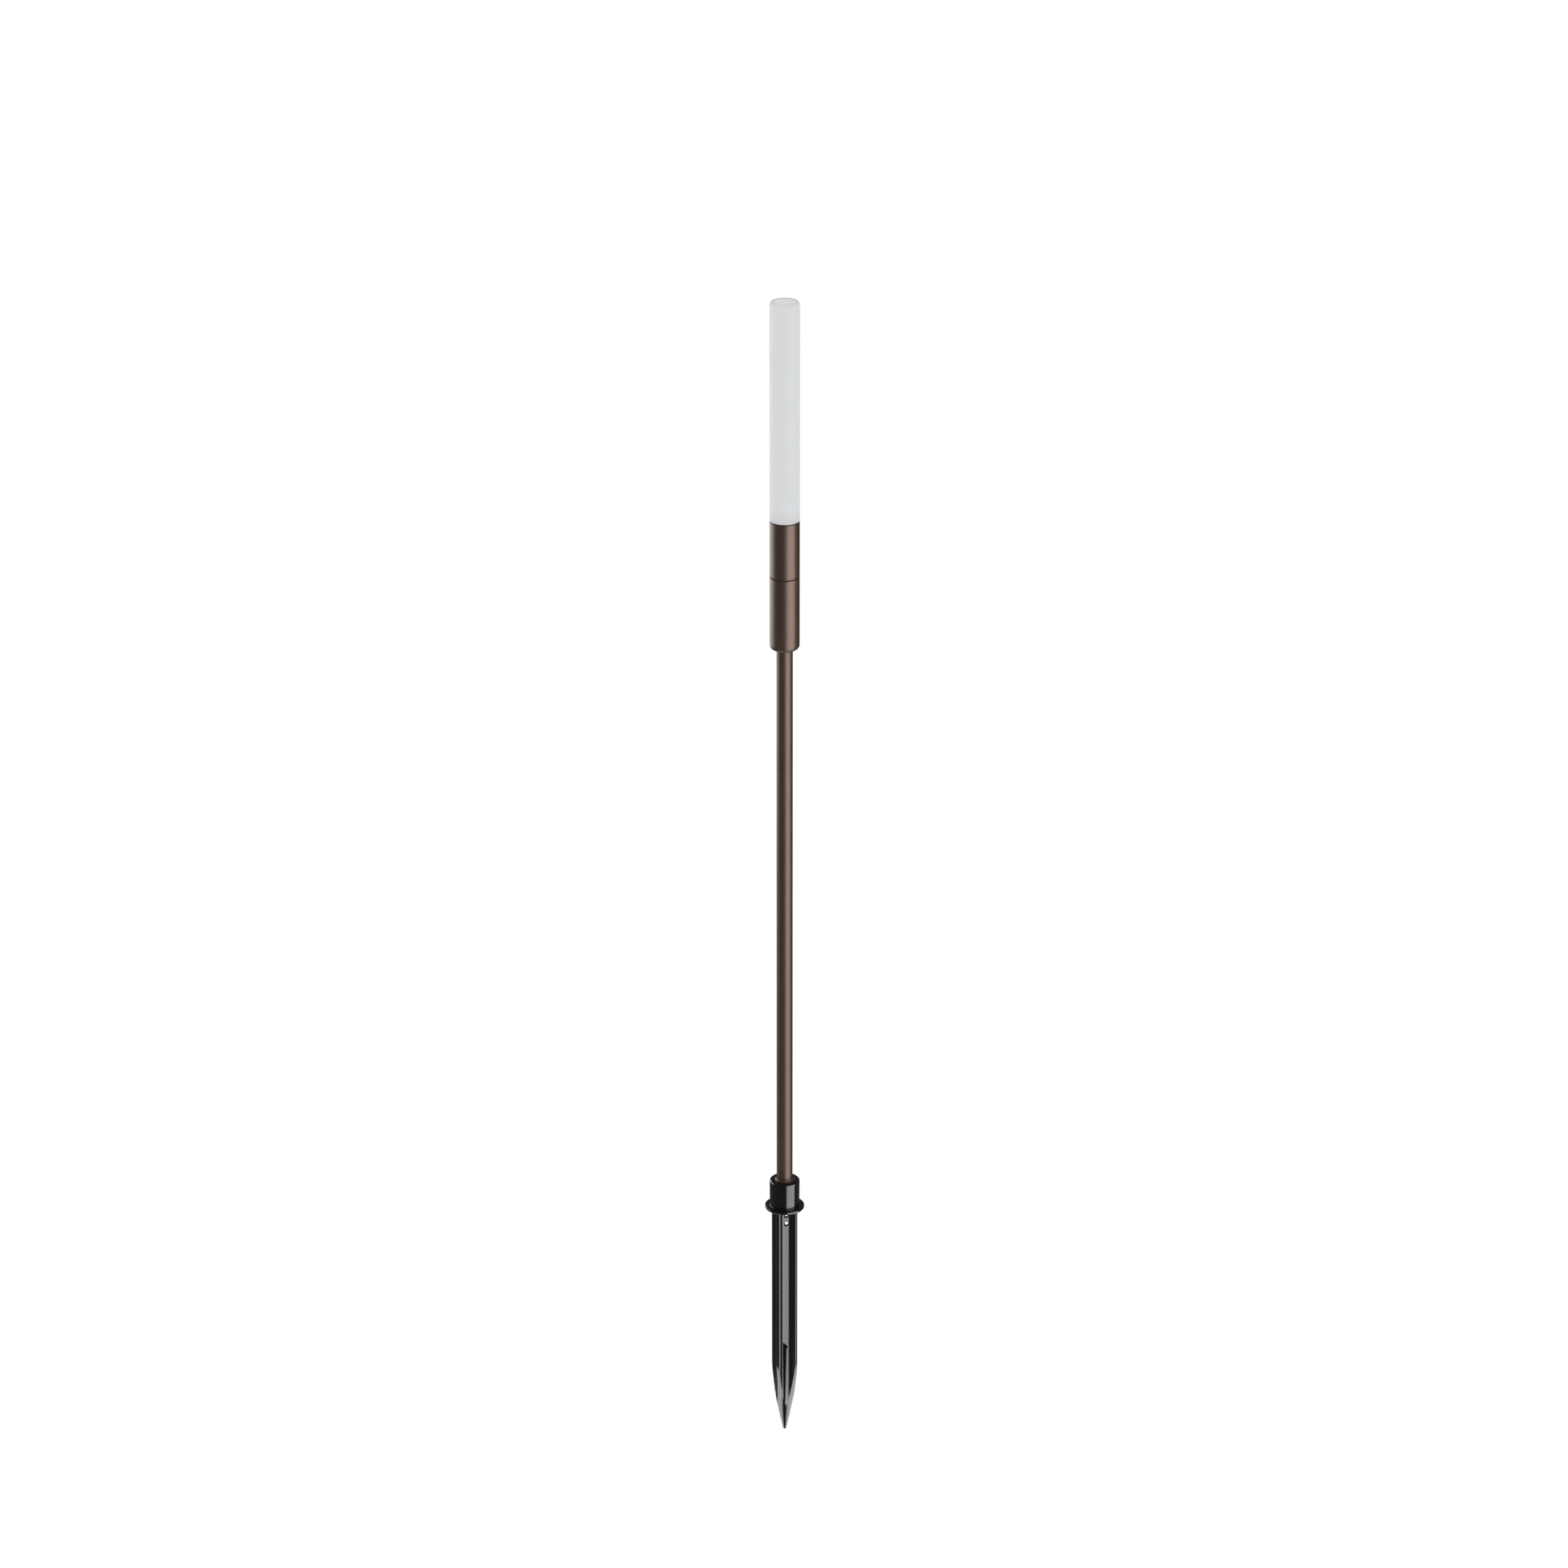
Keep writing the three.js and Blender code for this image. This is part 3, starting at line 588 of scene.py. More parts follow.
@dataclass(frozen=True)
class Thread:
    """A screw thread cut into a turned surface."""

    low: float
    high: float
    radius: float
    pitch: float
    depth: float

    def rows(self) -> np.ndarray:
        """Heights that resolve the thread, twelve to a pitch, from low to high."""
        count = max(2, round((self.high - self.low) / self.pitch * 12))
        return np.linspace(self.low, self.high, count)

    def cut(self, radius: np.ndarray, height: np.ndarray, angle: np.ndarray) -> np.ndarray:
        """The depth cut from a surface at each point.

        It is the depth times a rounded triangle wave of (height over pitch minus angle over a turn), and it
        fades in over one pitch at either end. It is zero away from the thread's own radius.

        Args:
            radius: the uncut radius of each point.
            height: its height.
            angle: its angle about the axis.

        Returns:
            The depth to take off each radius.
        """
        steepness, root = 1.9, 0.45
        phase = (height / self.pitch - angle / TURN) % 1.0
        wave = np.clip(steepness * np.abs(2 * phase - 1) - root, 0.0, 1.0)
        inside = np.clip(np.minimum(height - self.low, self.high - height) / self.pitch, 0.0, 1.0)
        nearby = 0.05 * MM
        here = np.abs(radius - self.radius) < nearby
        return self.depth * wave * inside * here


def turned(
    name: str,
    outline: np.ndarray,
    loop: bool = True,
    thread: Thread | None = None,
    segments: int = ROUND,
) -> bpy.types.Object:
    """A piece turned about the axis.

    Each point is (radius times sine, minus radius times cosine, height) of the angle about the axis.

    Args:
        name: the piece's name.
        outline: (radius, height) rows.
        loop: whether the outline closes on itself; otherwise it starts and ends on the axis.
        thread: a thread cut into one of its cylinders.
        segments: columns round the axis.

    Returns:
        The piece.
    """
    angle = np.linspace(0.0, TURN, segments, endpoint=False)[None, :]
    radius = outline[:, :1] + np.zeros_like(angle)
    height = outline[:, 1:] + np.zeros_like(angle)
    if thread:
        radius = radius - thread.cut(radius, height, angle)
    return mesh_piece(name, on_axis(radius, angle, height), loop)


def on_axis(radius: np.ndarray, angle: np.ndarray, height: np.ndarray) -> np.ndarray:
    """Points of a grid from radius, angle counted from -Y towards +X, and height."""
    return np.stack([radius * np.sin(angle), -radius * np.cos(angle), height], -1)


def closed(corners: Sequence[Corner], steps: int = 6) -> np.ndarray:
    """A closed outline with rounded corners; its first corner stays where it is."""
    return rounded([*corners, corners[0]], steps)[:-1]


def bar(name: str, outline: Sequence[tuple[float, float]], low: float, high: float) -> bpy.types.Object:
    """A straight bar along Z, used as a cutter.

    Its rows are the outline's centre, the outline at the low end, the same at the high end, and the centre.

    Args:
        name: the bar's name.
        outline: (x, y) corners.
        low: height of one end.
        high: height of the other.

    Returns:
        The bar.
    """
    edge = np.array(outline, float)
    middle = edge.mean(0) + np.zeros_like(edge)
    rows = [(middle, low), (edge, low), (edge, high), (middle, high)]
    grid = np.stack([np.column_stack([xy, np.full(len(edge), z)]) for xy, z in rows])
    return mesh_piece(name, grid)


def tipped(piece: bpy.types.Object) -> bpy.types.Object:
    """Lays a bar down, so that its own X, Y and Z become X, Z and -Y."""
    points = np.empty(len(piece.data.vertices) * 3)
    piece.data.vertices.foreach_get("co", points)
    x, y, z = points.reshape(-1, 3).T
    piece.data.vertices.foreach_set("co", np.column_stack([x, -z, y]).ravel())
    return piece


def carved(piece: bpy.types.Object, cutters: Iterable[bpy.types.Object]) -> bpy.types.Object:
    """Cuts the cutters out of a piece and removes them.

    Args:
        piece: a closed piece.
        cutters: closed bars that cross it.

    Returns:
        The same piece, with its new mesh.
    """
    for cutter in cutters:
        cut = piece.modifiers.new("cut", "BOOLEAN")
        cut.operation = "DIFFERENCE"
        cut.solver = "EXACT"
        cut.object = cutter
        graph = bpy.context.evaluated_depsgraph_get()
        mesh = bpy.data.meshes.new_from_object(piece.evaluated_get(graph))
        piece.modifiers.clear()
        piece.data = mesh
        bpy.data.objects.remove(cutter)
    smooth(piece)
    return piece


def settle(piece: bpy.types.Object, finish: Finish, body: str, slot: str, *nodes: str) -> None:
    """Gives a finished piece its material and its place in the frame.

    Args:
        piece: the piece, at the origin.
        finish: its finish.
        body: the body that it rides on.
        slot: the name of the record's material slot for its finish; not used.
        nodes: the frame's nodes that it stands for.
    """
    piece.data.materials.clear()
    piece.data.materials.append(material_of(finish))
    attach(piece, body)
    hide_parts(*nodes)
    log.info("%s: %d faces, for %s", piece.name, len(piece.data.polygons), ", ".join(nodes))


def dress(finish: Finish, *nodes: str) -> None:
    """Gives nodes of the frame that keep their own shape a finish."""
    for name in nodes:
        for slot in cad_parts[name].material_slots:
            slot.material = material_of(finish)
        log.info("%s: kept, in %s", name, finish.name)


# ---- ground stake ----
@dataclass
class GroundStake:
    """The black moulded stake: collar and flange above the ground, fluted spike below it."""

    flange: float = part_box("ground_stake")[1].x
    top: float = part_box("ground_stake")[1].z
    tip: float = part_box("ground_stake")[0].z
    spike: float = 17.2 * MM
    shoulder: float = -229 * MM
    tip_round: float = 2.2 * MM
    flute: float = 14.75 * MM
    rib_round: float = 2.6 * MM
    flute_turn: float = math.radians(16.5)
    facet_turn: float = math.radians(46)
    facet_top: float = -206 * MM
    facet_lean: float = math.radians(7.9)
    edge: float = 0.5 * MM
    socket: float = 10.6 * MM
    socket_floor: float = 19.8 * MM
    recess: float = 12.2 * MM
    recess_depth: float = 3.4 * MM
    wire_bore: float = 5 * MM
    well: float = -38 * MM
    wire_hole: float = 3 * MM
    wire_hole_x: float = 1.9 * MM
    wire_holes: tuple[float, float] = (-7.5 * MM, -19 * MM)

    def above_ground(self) -> np.ndarray:
        """The outline from the wire well up the bore, over the collar and out round the flange."""
        collar, rim, plate = 17.8 * MM, 18.07 * MM, 3.6 * MM
        recess_floor = self.top - self.recess_depth
        return rounded([
            (0.0, self.well, 0.0),
            (self.wire_bore, self.well, 0.0),
            (self.wire_bore, self.socket_floor, 0.0),
            (self.socket, self.socket_floor, 0.0),
            (self.socket, recess_floor, 0.0),
            (self.recess, recess_floor, 0.0),
            (self.recess, self.top, 0.5 * MM),
            (rim, self.top, 2.7 * MM),
            (rim, self.top - 5 * MM, 0.0),
            (collar, plate, 0.8 * MM),
            (self.flange, plate, 1.2 * MM),
            (self.flange, 0.0, 1.2 * MM),
            (self.spike + 0.8 * MM, 0.0, 0.0),
        ])

    def below_ground(self) -> np.ndarray:
        """The spike's round envelope: straight to the shoulder, then a cone to a round tip."""
        centre = self.tip + self.tip_round
        start = math.radians(-10)
        foot = centre + self.tip_round * math.sin(start)
        straight = np.linspace(-0.01 * MM, self.facet_top, 30)
        facets = np.linspace(self.facet_top, self.shoulder, 16)[1:]
        cone = np.linspace(self.shoulder, foot, 80)[1:]
        ball = np.linspace(start, -math.pi / 2, 9)[1:]
        height = np.concatenate([straight, facets, cone, centre + self.tip_round * np.sin(ball)])
        wide = self.tip_round * math.cos(start)
        taper = np.interp(height, [foot, self.shoulder], [wide, self.spike])
        round_end = np.sqrt(np.clip(self.tip_round**2 - (height - centre) ** 2, 0.0, None))
        return np.column_stack([np.where(height < foot, round_end, taper), height])

    def angles(self) -> np.ndarray:
        """Angles round the axis, closer together over the four rounded ribs."""
        quarter = math.pi / 2
        rib = math.radians(13.0)
        over_rib = np.linspace(-rib, rib, 49)
        over_flute = np.linspace(rib, quarter - rib, 40)[1:-1]
        one = np.concatenate([over_rib, over_flute])
        return (self.flute_turn + quarter / 2 + one + quarter * np.arange(4)[:, None]).ravel()

    def section(self, radius: np.ndarray, height: np.ndarray, angle: np.ndarray) -> np.ndarray:
        """The spike's radius at each height and angle.

        The moulded section is four flutes, each the near wall of a circle whose centre is outside the spike,
        joined by ribs rounded with a smaller circle that touches the flute on either side. The surface is the
        smallest of that section, the round envelope, and four leaning flats whose distance from the axis
        shrinks with depth. Where two of them are within the edge width they blend.

        Args:
            radius: the envelope's radius.
            height: the height.
            angle: the angle from -Y towards +X.

        Returns:
            The radius of the moulded surface.
        """
        quarter = math.pi / 2
        rib = self.spike - self.rib_round
        across = rib * math.sqrt(0.5)
        flute = across + math.sqrt((self.flute + self.rib_round) ** 2 - across**2)
        to_flute = (angle - self.flute_turn + quarter / 2) % quarter - quarter / 2
        to_rib = quarter / 2 - np.abs(to_flute)
        wall = flute * np.cos(to_flute) - np.sqrt(
            np.clip(self.flute**2 - (flute * np.sin(to_flute)) ** 2, 0.0, None)
        )
        crest = rib * np.cos(to_rib) + np.sqrt(
            np.clip(self.rib_round**2 - (rib * np.sin(to_rib)) ** 2, 0.0, None)
        )
        share = self.rib_round / (self.flute + self.rib_round)
        touch = np.array([rib + share * (flute * math.sqrt(0.5) - rib), share * flute * math.sqrt(0.5)])
        moulded = np.where(to_rib < math.atan2(touch[1], touch[0]), crest, wall)
        to_flat = (angle - self.facet_turn + quarter / 2) % quarter - quarter / 2
        flat = (self.spike - (self.facet_top - height) * math.tan(self.facet_lean)) / np.cos(to_flat)
        return self.softer(self.softer(radius, moulded), flat)

    def softer(self, first: np.ndarray, second: np.ndarray) -> np.ndarray:
        """The smaller of two radii, with the edge between them eased.

        Within the edge width w, the result dips below the smaller by (w - their difference) squared / 4 w.
        """
        near = np.clip(self.edge - np.abs(first - second), 0.0, None)
        return np.minimum(first, second) - near**2 / (4 * self.edge)

    def cutters(self) -> list[bpy.types.Object]:
        """Bars for the two wire holes, the window behind them and the grooves down the point."""
        around = np.linspace(0.0, TURN, 48, endpoint=False)
        circle = np.column_stack([np.cos(around), np.sin(around)]) * self.wire_hole
        far = 30 * MM
        made = [
            tipped(bar("hole", circle + [self.wire_hole_x, z], 0.0, far)) for z in self.wire_holes
        ]
        left, right, low, high = 0.4 * MM, 6.6 * MM, self.well, -4 * MM
        window = [(left, low), (right, low), (right, high), (left, high)]
        made.append(tipped(bar("window", window, -far, 0.0)))
        groove = np.array([
            (-2.0, -179.0), (4.2, -186.5), (2.3, -190.0), (-0.2, -302.0), (-1.1, -302.0), (-2.2, -190.0),
        ]) * MM
        depth, reach = 3.4 * MM, 19.4 * MM
        made.append(tipped(bar("front_groove", groove, depth, reach)))
        made.append(tipped(bar("back_groove", groove * [-1.0, 1.0], -reach, -depth)))
        return made

    def build(self) -> bpy.types.Object:
        """The moulded stake.

        Each point is (radius times sine, minus radius times cosine, height) of its angle, with the radius of
        the turned outline above the ground and of the fluted section below it.

        Returns:
            The piece.
        """
        above, below = self.above_ground(), self.below_ground()
        angle = self.angles()[None, :]
        outline = np.concatenate([above, below])
        radius = outline[:, :1] + np.zeros_like(angle)
        height = outline[:, 1:] + np.zeros_like(angle)
        start = len(above)
        radius[start:] = self.section(radius[start:], height[start:], angle)
        piece = mesh_piece("stake_moulding", on_axis(radius, angle, height))
        return carved(piece, self.cutters())

    def dress(self) -> None:
        """Builds the stake and gives it its gloss."""
        settle(self.build(), BLACK_STAKE, "stake", "black_gloss", "ground_stake")


# ---- stem ----
@dataclass
class Stem:
    """The stem, its flared foot that screws into the stake, and the seals at its ends."""

    radius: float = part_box("stem_tube")[1].x
    low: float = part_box("stem_tube")[0].z
    high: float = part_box("stem_tube")[1].z
    wall: float = 1.65 * MM
    foot_low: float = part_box("stem_foot")[0].z
    foot_high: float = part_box("stem_foot")[1].z
    foot_seat: float = 35.9 * MM
    flare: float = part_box("stem_foot")[1].x
    spigot: float = 10.25 * MM
    cup: float = 10.3 * MM
    cup_height: float = 2.4 * MM
    lead_bore: float = 5.4 * MM
    thread_pitch: float = INCH / 14

    def tube(self) -> bpy.types.Object:
        """The drawn tube."""
        bore, ease = self.radius - self.wall, 0.3 * MM
        outline = closed([
            (bore, self.low, 0.0),
            (self.radius, self.low, ease),
            (self.radius, self.high, ease),
            (bore, self.high, ease),
        ])
        return turned("stem_sleeve", outline)

    def foot(self) -> bpy.types.Object:
        """The flared ring with its cup round the stem and its threaded spigot in the stake."""
        bore, inside = self.lead_bore, self.radius - self.wall - GAP
        cup_top, seat = self.low + self.cup_height, self.foot_seat
        thread = Thread(self.foot_low + 1.2 * MM, seat - 1.5 * MM, self.spigot, self.thread_pitch, 0.75 * MM)
        rows = [(self.spigot, z, 0.0) for z in thread.rows()]
        outline = closed([
            (bore, self.foot_low, 0.0),
            (self.spigot - 0.9 * MM, self.foot_low, 0.0),
            *rows,
            (self.spigot, seat, 0.0),
            (self.flare, seat, 0.35 * MM),
            (self.flare, seat + 1.75 * MM, 0.5 * MM),
            (self.cup, seat + 3.4 * MM, 0.6 * MM),
            (self.cup, cup_top, 0.25 * MM),
            (self.radius + GAP, cup_top, 0.15 * MM),
            (self.radius + GAP, self.low - GAP, 0.0),
            (inside, self.low - GAP, 0.0),
            (inside, self.foot_high, 0.3 * MM),
            (bore, self.foot_high, 0.3 * MM),
        ])
        return turned("stem_foot_ring", outline, thread=thread)

    def seal(self) -> bpy.types.Object:
        """The ring under the foot: a circle carried round the axis."""
        low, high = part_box("foot_seal")
        return ring("foot_washer_ring", low, high)

    def dress(self) -> None:
        """Builds the pieces and gives the stem its grain and the foot its smooth coat."""
        settle(self.tube(), TEXTURED_BRONZE, "post", "bronze_textured", "stem_tube")
        settle(self.foot(), SMOOTH_BRONZE, "post", "bronze_smooth", "stem_foot")
        settle(self.seal(), RUBBER, "foot_washer", "rubber", "foot_seal")
        dress(RUBBER, "cable_grommet", "hub_seal")


def ring(name: str, low: Sequence[float], high: Sequence[float]) -> bpy.types.Object:
    """A ring of round section that fills a box.

    Each point is the ring's radius plus the section's radius times the cosine of its angle round the section,
    and its height is the section's radius times the sine of that angle.

    Args:
        name: the ring's name.
        low: the box's lowest corner.
        high: its highest corner.

    Returns:
        The ring.
    """
    section = (high[2] - low[2]) / 2
    angle = np.linspace(0.0, TURN, 24, endpoint=False)
    radius = high[0] - section + section * np.cos(angle)
    height = (low[2] + high[2]) / 2 + section * np.sin(angle)
    return turned(name, np.column_stack([radius, height]))


# ---- housings ----
@dataclass
class Housing:
    """The bronze housing in two halves, with a gasket in the groove between them."""

    radius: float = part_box("lower_housing")[1].x
    foot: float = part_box("lower_housing")[0].z
    joint_low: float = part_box("lower_housing")[1].z
    gasket_low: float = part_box("joint_gasket")[0].z
    gasket_high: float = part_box("joint_gasket")[1].z
    rim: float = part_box("upper_housing")[1].z
    spigot_foot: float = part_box("upper_housing")[0].z
    bore: float = 15 * MM
    stem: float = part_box("stem_tube")[1].x + GAP
    nipple: float = 7.9 * MM
    hub_seat: float = 5 * MM
    hub_top: float = 10.2 * MM
    ledge: float = 32 * MM
    ledge_bore: float = 10 * MM
    thread_pitch: float = 2 * MM

    def lower(self) -> bpy.types.Object:
        """The cup round the driver, drawn in to the stem by a generous fillet."""
        seat, floor = self.foot + self.hub_seat, self.foot + self.hub_top
        outline = closed([
            (self.stem, self.foot, 0.0),
            (self.radius, self.foot, 5.6 * MM),
            (self.radius, self.joint_low, 0.4 * MM),
            (self.bore, self.joint_low, 0.25 * MM),
            (self.bore, floor, 3 * MM),
            (self.nipple, floor, 0.0),
            (self.nipple, seat, 0.0),
            (self.stem, seat, 0.0),
        ], 10)
        return turned("housing_cup", outline)

    def upper(self) -> bpy.types.Object:
        """The sleeve round the light engine, with a threaded spigot below and a ledge inside."""
        joint, spigot = self.gasket_high + GAP, self.bore - 0.4 * MM
        inner, ledge = spigot - 1.8 * MM, joint + self.ledge
        thread = Thread(
            self.spigot_foot + 1 * MM, joint - 2 * MM, spigot, self.thread_pitch, 0.55 * MM
        )
        rows = [(spigot, z, 0.0) for z in thread.rows()]
        outline = closed([
            (inner, self.spigot_foot, 0.0),
            (spigot - 0.7 * MM, self.spigot_foot, 0.0),
            *rows,
            (spigot, joint, 0.0),
            (self.radius, joint, 0.4 * MM),
            (self.radius, self.rim, 0.3 * MM),
            (self.bore, self.rim, 0.2 * MM),
            (self.bore, ledge, 0.0),
            (self.ledge_bore, ledge, 0.2 * MM),
            (self.ledge_bore, ledge - 4.5 * MM, 0.3 * MM),
            (inner, ledge - 8 * MM, 1 * MM),
        ])
        return turned("housing_sleeve", outline, thread=thread)

    def gasket(self) -> bpy.types.Object:
        """The flat gasket, its outer edge a little rounded."""
        inside, outside = 15.2 * MM, self.radius - 0.8 * MM
        outline = closed([
            (inside, self.gasket_low, 0.0),
            (outside, self.gasket_low, 0.2 * MM),
            (outside, self.gasket_high, 0.2 * MM),
            (inside, self.gasket_high, 0.1 * MM),
        ])
        return turned("housing_gasket", outline)

    def dress(self) -> None:
        """Builds the halves in their smooth coat and the gasket in rubber."""
        settle(self.lower(), SMOOTH_BRONZE, "post", "bronze_smooth", "lower_housing")
        settle(self.upper(), SMOOTH_BRONZE, "head", "bronze_smooth", "upper_housing")
        settle(self.gasket(), RUBBER, "gasket", "rubber", "joint_gasket")


# ---- diffuser ----
@dataclass
class Diffuser:
    """The frosted tube with its lid, on the dark collar that plugs it into the housing."""

    radius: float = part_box("diffuser_tube")[1].x
    low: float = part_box("diffuser_tube")[0].z
    high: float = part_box("diffuser_tube")[1].z
    wall: float = 3.5 * MM
    crown: float = 3.2 * MM
    lid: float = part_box("diffuser_cap")[1].x
    lid_low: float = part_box("diffuser_cap")[0].z
    lid_high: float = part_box("diffuser_cap")[1].z
    collar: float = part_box("diffuser_collar")[1].x
    collar_low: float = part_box("diffuser_collar")[0].z
    collar_high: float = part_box("diffuser_collar")[1].z
    rim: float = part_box("upper_housing")[1].z + GAP
    plug_wall: float = 1.4 * MM

    def tube(self) -> bpy.types.Object:
        """The tube, its top edge rolled over to a counterbore for the lid."""
        bore = self.radius - self.wall
        seat = self.lid_low - GAP
        lip = bore - 0.7 * MM
        outline = closed([
            (bore, self.low, 0.0),
            (self.radius, self.low, 0.3 * MM),
            (self.radius, self.high, self.crown),
            (bore + 0.2 * MM, self.high, 0.15 * MM),
            (bore + 0.2 * MM, seat, 0.0),
            (lip, seat, 0.1 * MM),
            (lip, seat - 1.5 * MM, 0.0),
            (bore, seat - 2.2 * MM, 0.0),
        ], 14)
        return turned("diffuser_sleeve", outline)

    def top(self) -> bpy.types.Object:
        """The lid: a disc with an eased rim, let into the tube."""
        outline = rounded([
            (0.0, self.lid_low, 0.0),
            (self.lid, self.lid_low, 0.2 * MM),
            (self.lid, self.lid_high, 0.35 * MM),
            (0.0, self.lid_high, 0.0),
        ])
        return turned("diffuser_lid", outline, loop=False)

    def plug(self) -> bpy.types.Object:
        """The collar: a spigot in the housing with a seal groove, the thin dark ring, and an inner sleeve."""
        spigot, sleeve = 14.6 * MM, self.radius - self.wall - GAP
        inside, groove = sleeve - self.plug_wall, spigot - 1.6 * MM
        groove_low, groove_high = self.rim - 7.7 * MM, self.rim - 4.7 * MM
        ring_low, ring_high = self.rim, self.low - GAP
        outline = closed([
            (inside, self.collar_low, 0.0),
            (spigot, self.collar_low, 0.6 * MM),
            (spigot, groove_low, 0.15 * MM),
            (groove, groove_low, 0.0),
            (groove, groove_high, 0.0),
            (spigot, groove_high, 0.15 * MM),
            (spigot, ring_low, 0.0),
            (self.collar, ring_low, 0.12 * MM),
            (self.collar, ring_high, 0.12 * MM),
            (sleeve, ring_high, 0.0),
            (sleeve, self.collar_high, 0.3 * MM),
            (inside, self.collar_high, 0.3 * MM),
        ])
        return turned("diffuser_plug", outline)

    def seal(self) -> bpy.types.Object:
        """The sealing ring in the collar's groove."""
        return ring("diffuser_oring", *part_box("diffuser_seal"))

    def dress(self) -> None:
        """Builds the frosted pieces, with shade painted into their colour at their own foot, and the dark
        collar.
        """
        frosted = FrostedAcrylic("frosted_acrylic", foot=self.low)
        settle(self.tube(), frosted, "head", "frosted_acrylic", "diffuser_tube")
        settle(self.top(), frosted, "head", "frosted_acrylic", "diffuser_cap")
        settle(self.plug(), BLACK_TRIM, "head", "black_trim", "diffuser_collar")
        settle(self.seal(), RUBBER, "head", "rubber", "diffuser_seal")


# ---- inside ----
@dataclass
class LightEngine:
    """The column, its four strips and what holds them, all inside the head."""

    strips: int = 4

    def dress(self) -> None:
        """Dresses the inner nodes."""
        dress(HEAT_PAD, "thermal_pad")
        dress(TURNED_ALUMINIUM, "column_base")
        dress(DRAWN_ALUMINIUM, "led_column")
        dress(ZINC_STEEL, "column_screw", "base_screw_1", "base_screw_2")
        dress(WHITE_PLASTIC, "column_spacer", "led_plug")
        dress(STRIP, *(f"led_strip_{i + 1}" for i in range(self.strips)))


@dataclass
class Driver:
    """The driver and the fastenings in the lower housing."""

    def dress(self) -> None:
        """Dresses the inner nodes."""
        dress(BRASS, "hub_nipple")
        dress(ZINC_STEEL, "hub_lock_washer", "hub_locknut", "tray_nut")
        dress(WHITE_PLASTIC, "driver_tray", "terminal_block")
        dress(BOARD, "driver_board")
        dress(BLACK_SLEEVE, "driver_capacitor")


# ---- studio ----
@dataclass(frozen=True)
class Softbox:
    """A rectangular light, seen only in reflections, that faces a point on the axis."""

    name: str
    azimuth: float
    distance: float
    height: float
    aim: float
    size: tuple[float, float]
    radiance: float

    def place(self) -> None:
        """Adds the light, at an azimuth counted from -Y towards +X."""
        data = bpy.data.lights.new(self.name, "AREA")
        data.shape = "RECTANGLE"
        data.size, data.size_y = self.size
        data.energy = self.radiance * self.size[0] * self.size[1] * math.pi
        light = bpy.data.objects.new(self.name, data)
        bpy.context.scene.collection.objects.link(light)
        light.visible_camera = False
        light.visible_diffuse = False
        angle = math.radians(self.azimuth)
        away = np.array([math.sin(angle), -math.cos(angle), 0.0]) * self.distance
        light.location = (away[0], away[1], self.height)
        tilt = math.atan2(self.height - self.aim, self.distance)
        light.rotation_euler = (math.pi / 2 - tilt, 0.0, angle)


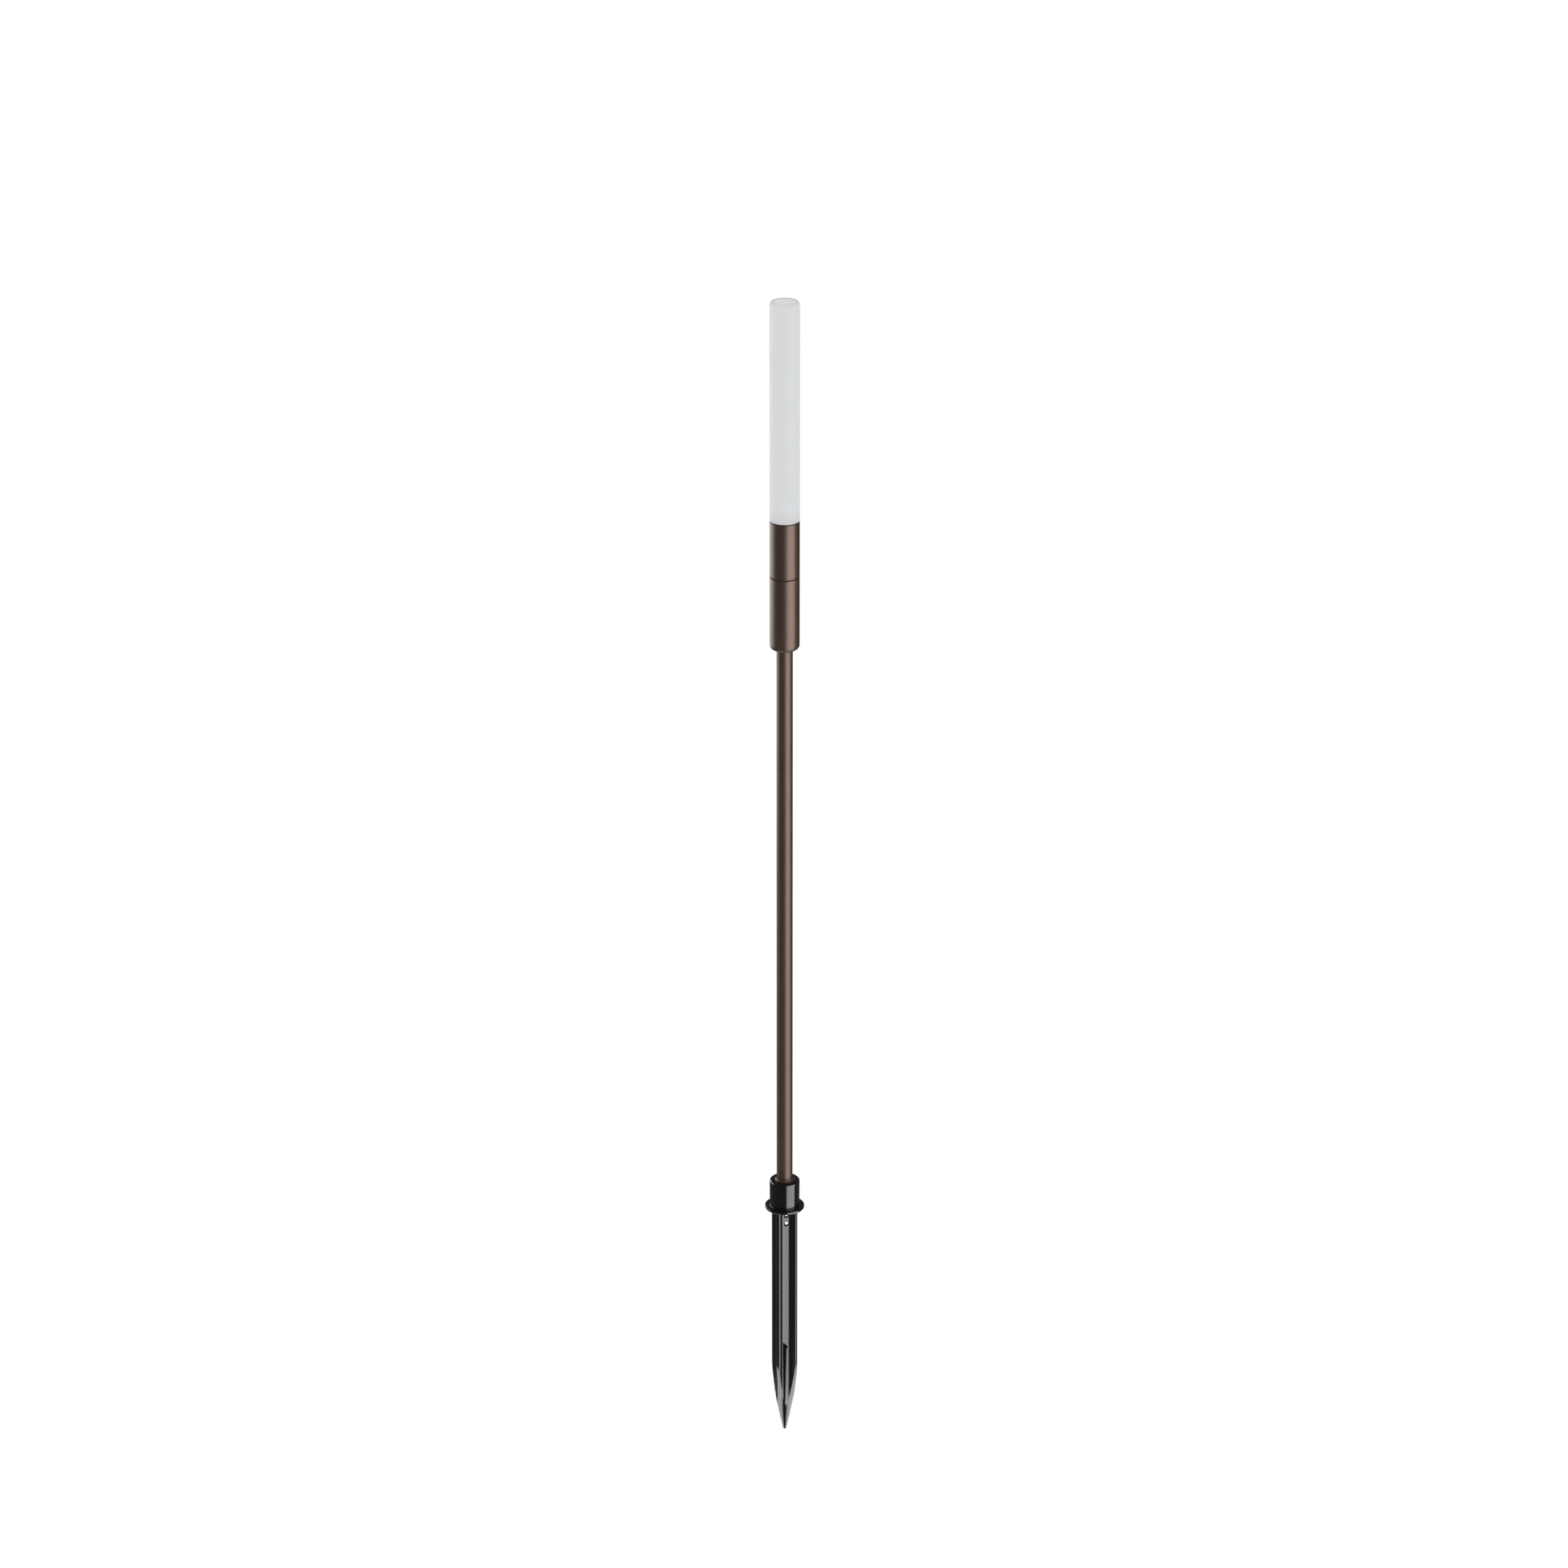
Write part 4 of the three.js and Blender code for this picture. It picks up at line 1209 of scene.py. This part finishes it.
@dataclass
class Studio:
    """A pale floor that runs up into a pale backdrop, soft lights, and the camera."""

    floor: float = CAD_BOX[0].z
    reach: float = 24.0
    curve: float = 10.0
    ambient: float = 0.12
    lens: float = 130.4
    pitch: float = math.radians(23.0)
    distance: float = 6.626
    aim: float = 0.553
    side: float = -0.76 * MM
    far: float = 100.0

    def sweep(self) -> None:
        """The floor and backdrop as one turned surface: flat, then a quarter circle upwards."""
        arc = np.linspace(-math.pi / 2, 0.0, 24)
        radius = np.concatenate([[0.0, self.reach / 3], self.reach + self.curve * np.cos(arc)])
        height = self.floor + np.concatenate([[0.0, 0.0], self.curve * (1 + np.sin(arc))])
        top = [[radius[-1], height[-1] + 2 * self.curve], [0.0, height[-1] + 3 * self.curve]]
        outline = np.concatenate([np.column_stack([radius, height]), top])
        floor = turned("floor", outline, loop=False, segments=64)
        floor.data.materials.append(self.paper())
        floor.visible_glossy = False
        floor.visible_shadow = False

    @staticmethod
    def paper() -> bpy.types.Material:
        """Pale matt paper, lit evenly enough to read as white."""
        g = Graph("studio_paper")
        fibres = g.noise(0.05, 3.0)
        return g.finish(
            Base_Color=g.blend(fibres * 0.3, (0.05, 0.05, 0.05), (0.04, 0.04, 0.04)),
            Roughness=1.0,
            Specular_IOR_Level=0.0,
            Emission_Color=(1.0, 1.0, 1.0, 1.0),
            Emission_Strength=1.0,
        )

    def world(self) -> None:
        """Dim, even light from all round."""
        world = bpy.data.worlds.new("studio_air")
        world.use_nodes = True
        back = world.node_tree.nodes["Background"]
        back.inputs["Color"].default_value = (1.0, 1.0, 1.0, 1.0)
        back.inputs["Strength"].default_value = self.ambient
        bpy.context.scene.world = world

    def lights(self) -> None:
        """A tall strip to the right, one behind on the left, and two that lie below the point and face up."""
        for box in (
            Softbox("strip_right", 48.0, 2.6, -0.35, -0.35, (3.25, 3.6), 5.2),
            Softbox("strip_back_left", -119.0, 2.6, 0.35, 0.35, (3.2, 1.8), 3.4),
            Softbox("low_right", 74.0, 0.37, -0.62, 10.0, (0.9, 0.26), 4.2),
            Softbox("low_left", -74.0, 0.37, -0.62, 10.0, (0.9, 0.26), 4.2),
        ):
            box.place()

    def camera(self) -> None:
        """The camera, a level turn away on the -Y side and looking down at the aim point."""
        data = bpy.data.cameras.new("camera")
        data.lens = self.lens
        data.clip_end = self.far
        camera = bpy.data.objects.new("camera", data)
        bpy.context.scene.collection.objects.link(camera)
        away = self.distance * math.cos(self.pitch)
        camera.location = (self.side, -away, self.aim + self.distance * math.sin(self.pitch))
        camera.rotation_euler = (math.pi / 2 - self.pitch, 0.0, 0.0)
        bpy.context.scene.camera = camera

    def build(self) -> None:
        """Sets the stage, with colours shown as they are lit."""
        bpy.context.scene.view_settings.view_transform = "Standard"
        self.camera()
        self.sweep()
        self.world()
        self.lights()


def main() -> None:
    """Builds the torch from the ground up and then the studio."""
    logging.basicConfig(level=logging.INFO, format="%(name)s: %(message)s")
    Studio().build()
    for part in (GroundStake(), Stem(), Housing(), Driver(), LightEngine(), Diffuser()):
        part.dress()


if __name__ == "__main__":
    main()
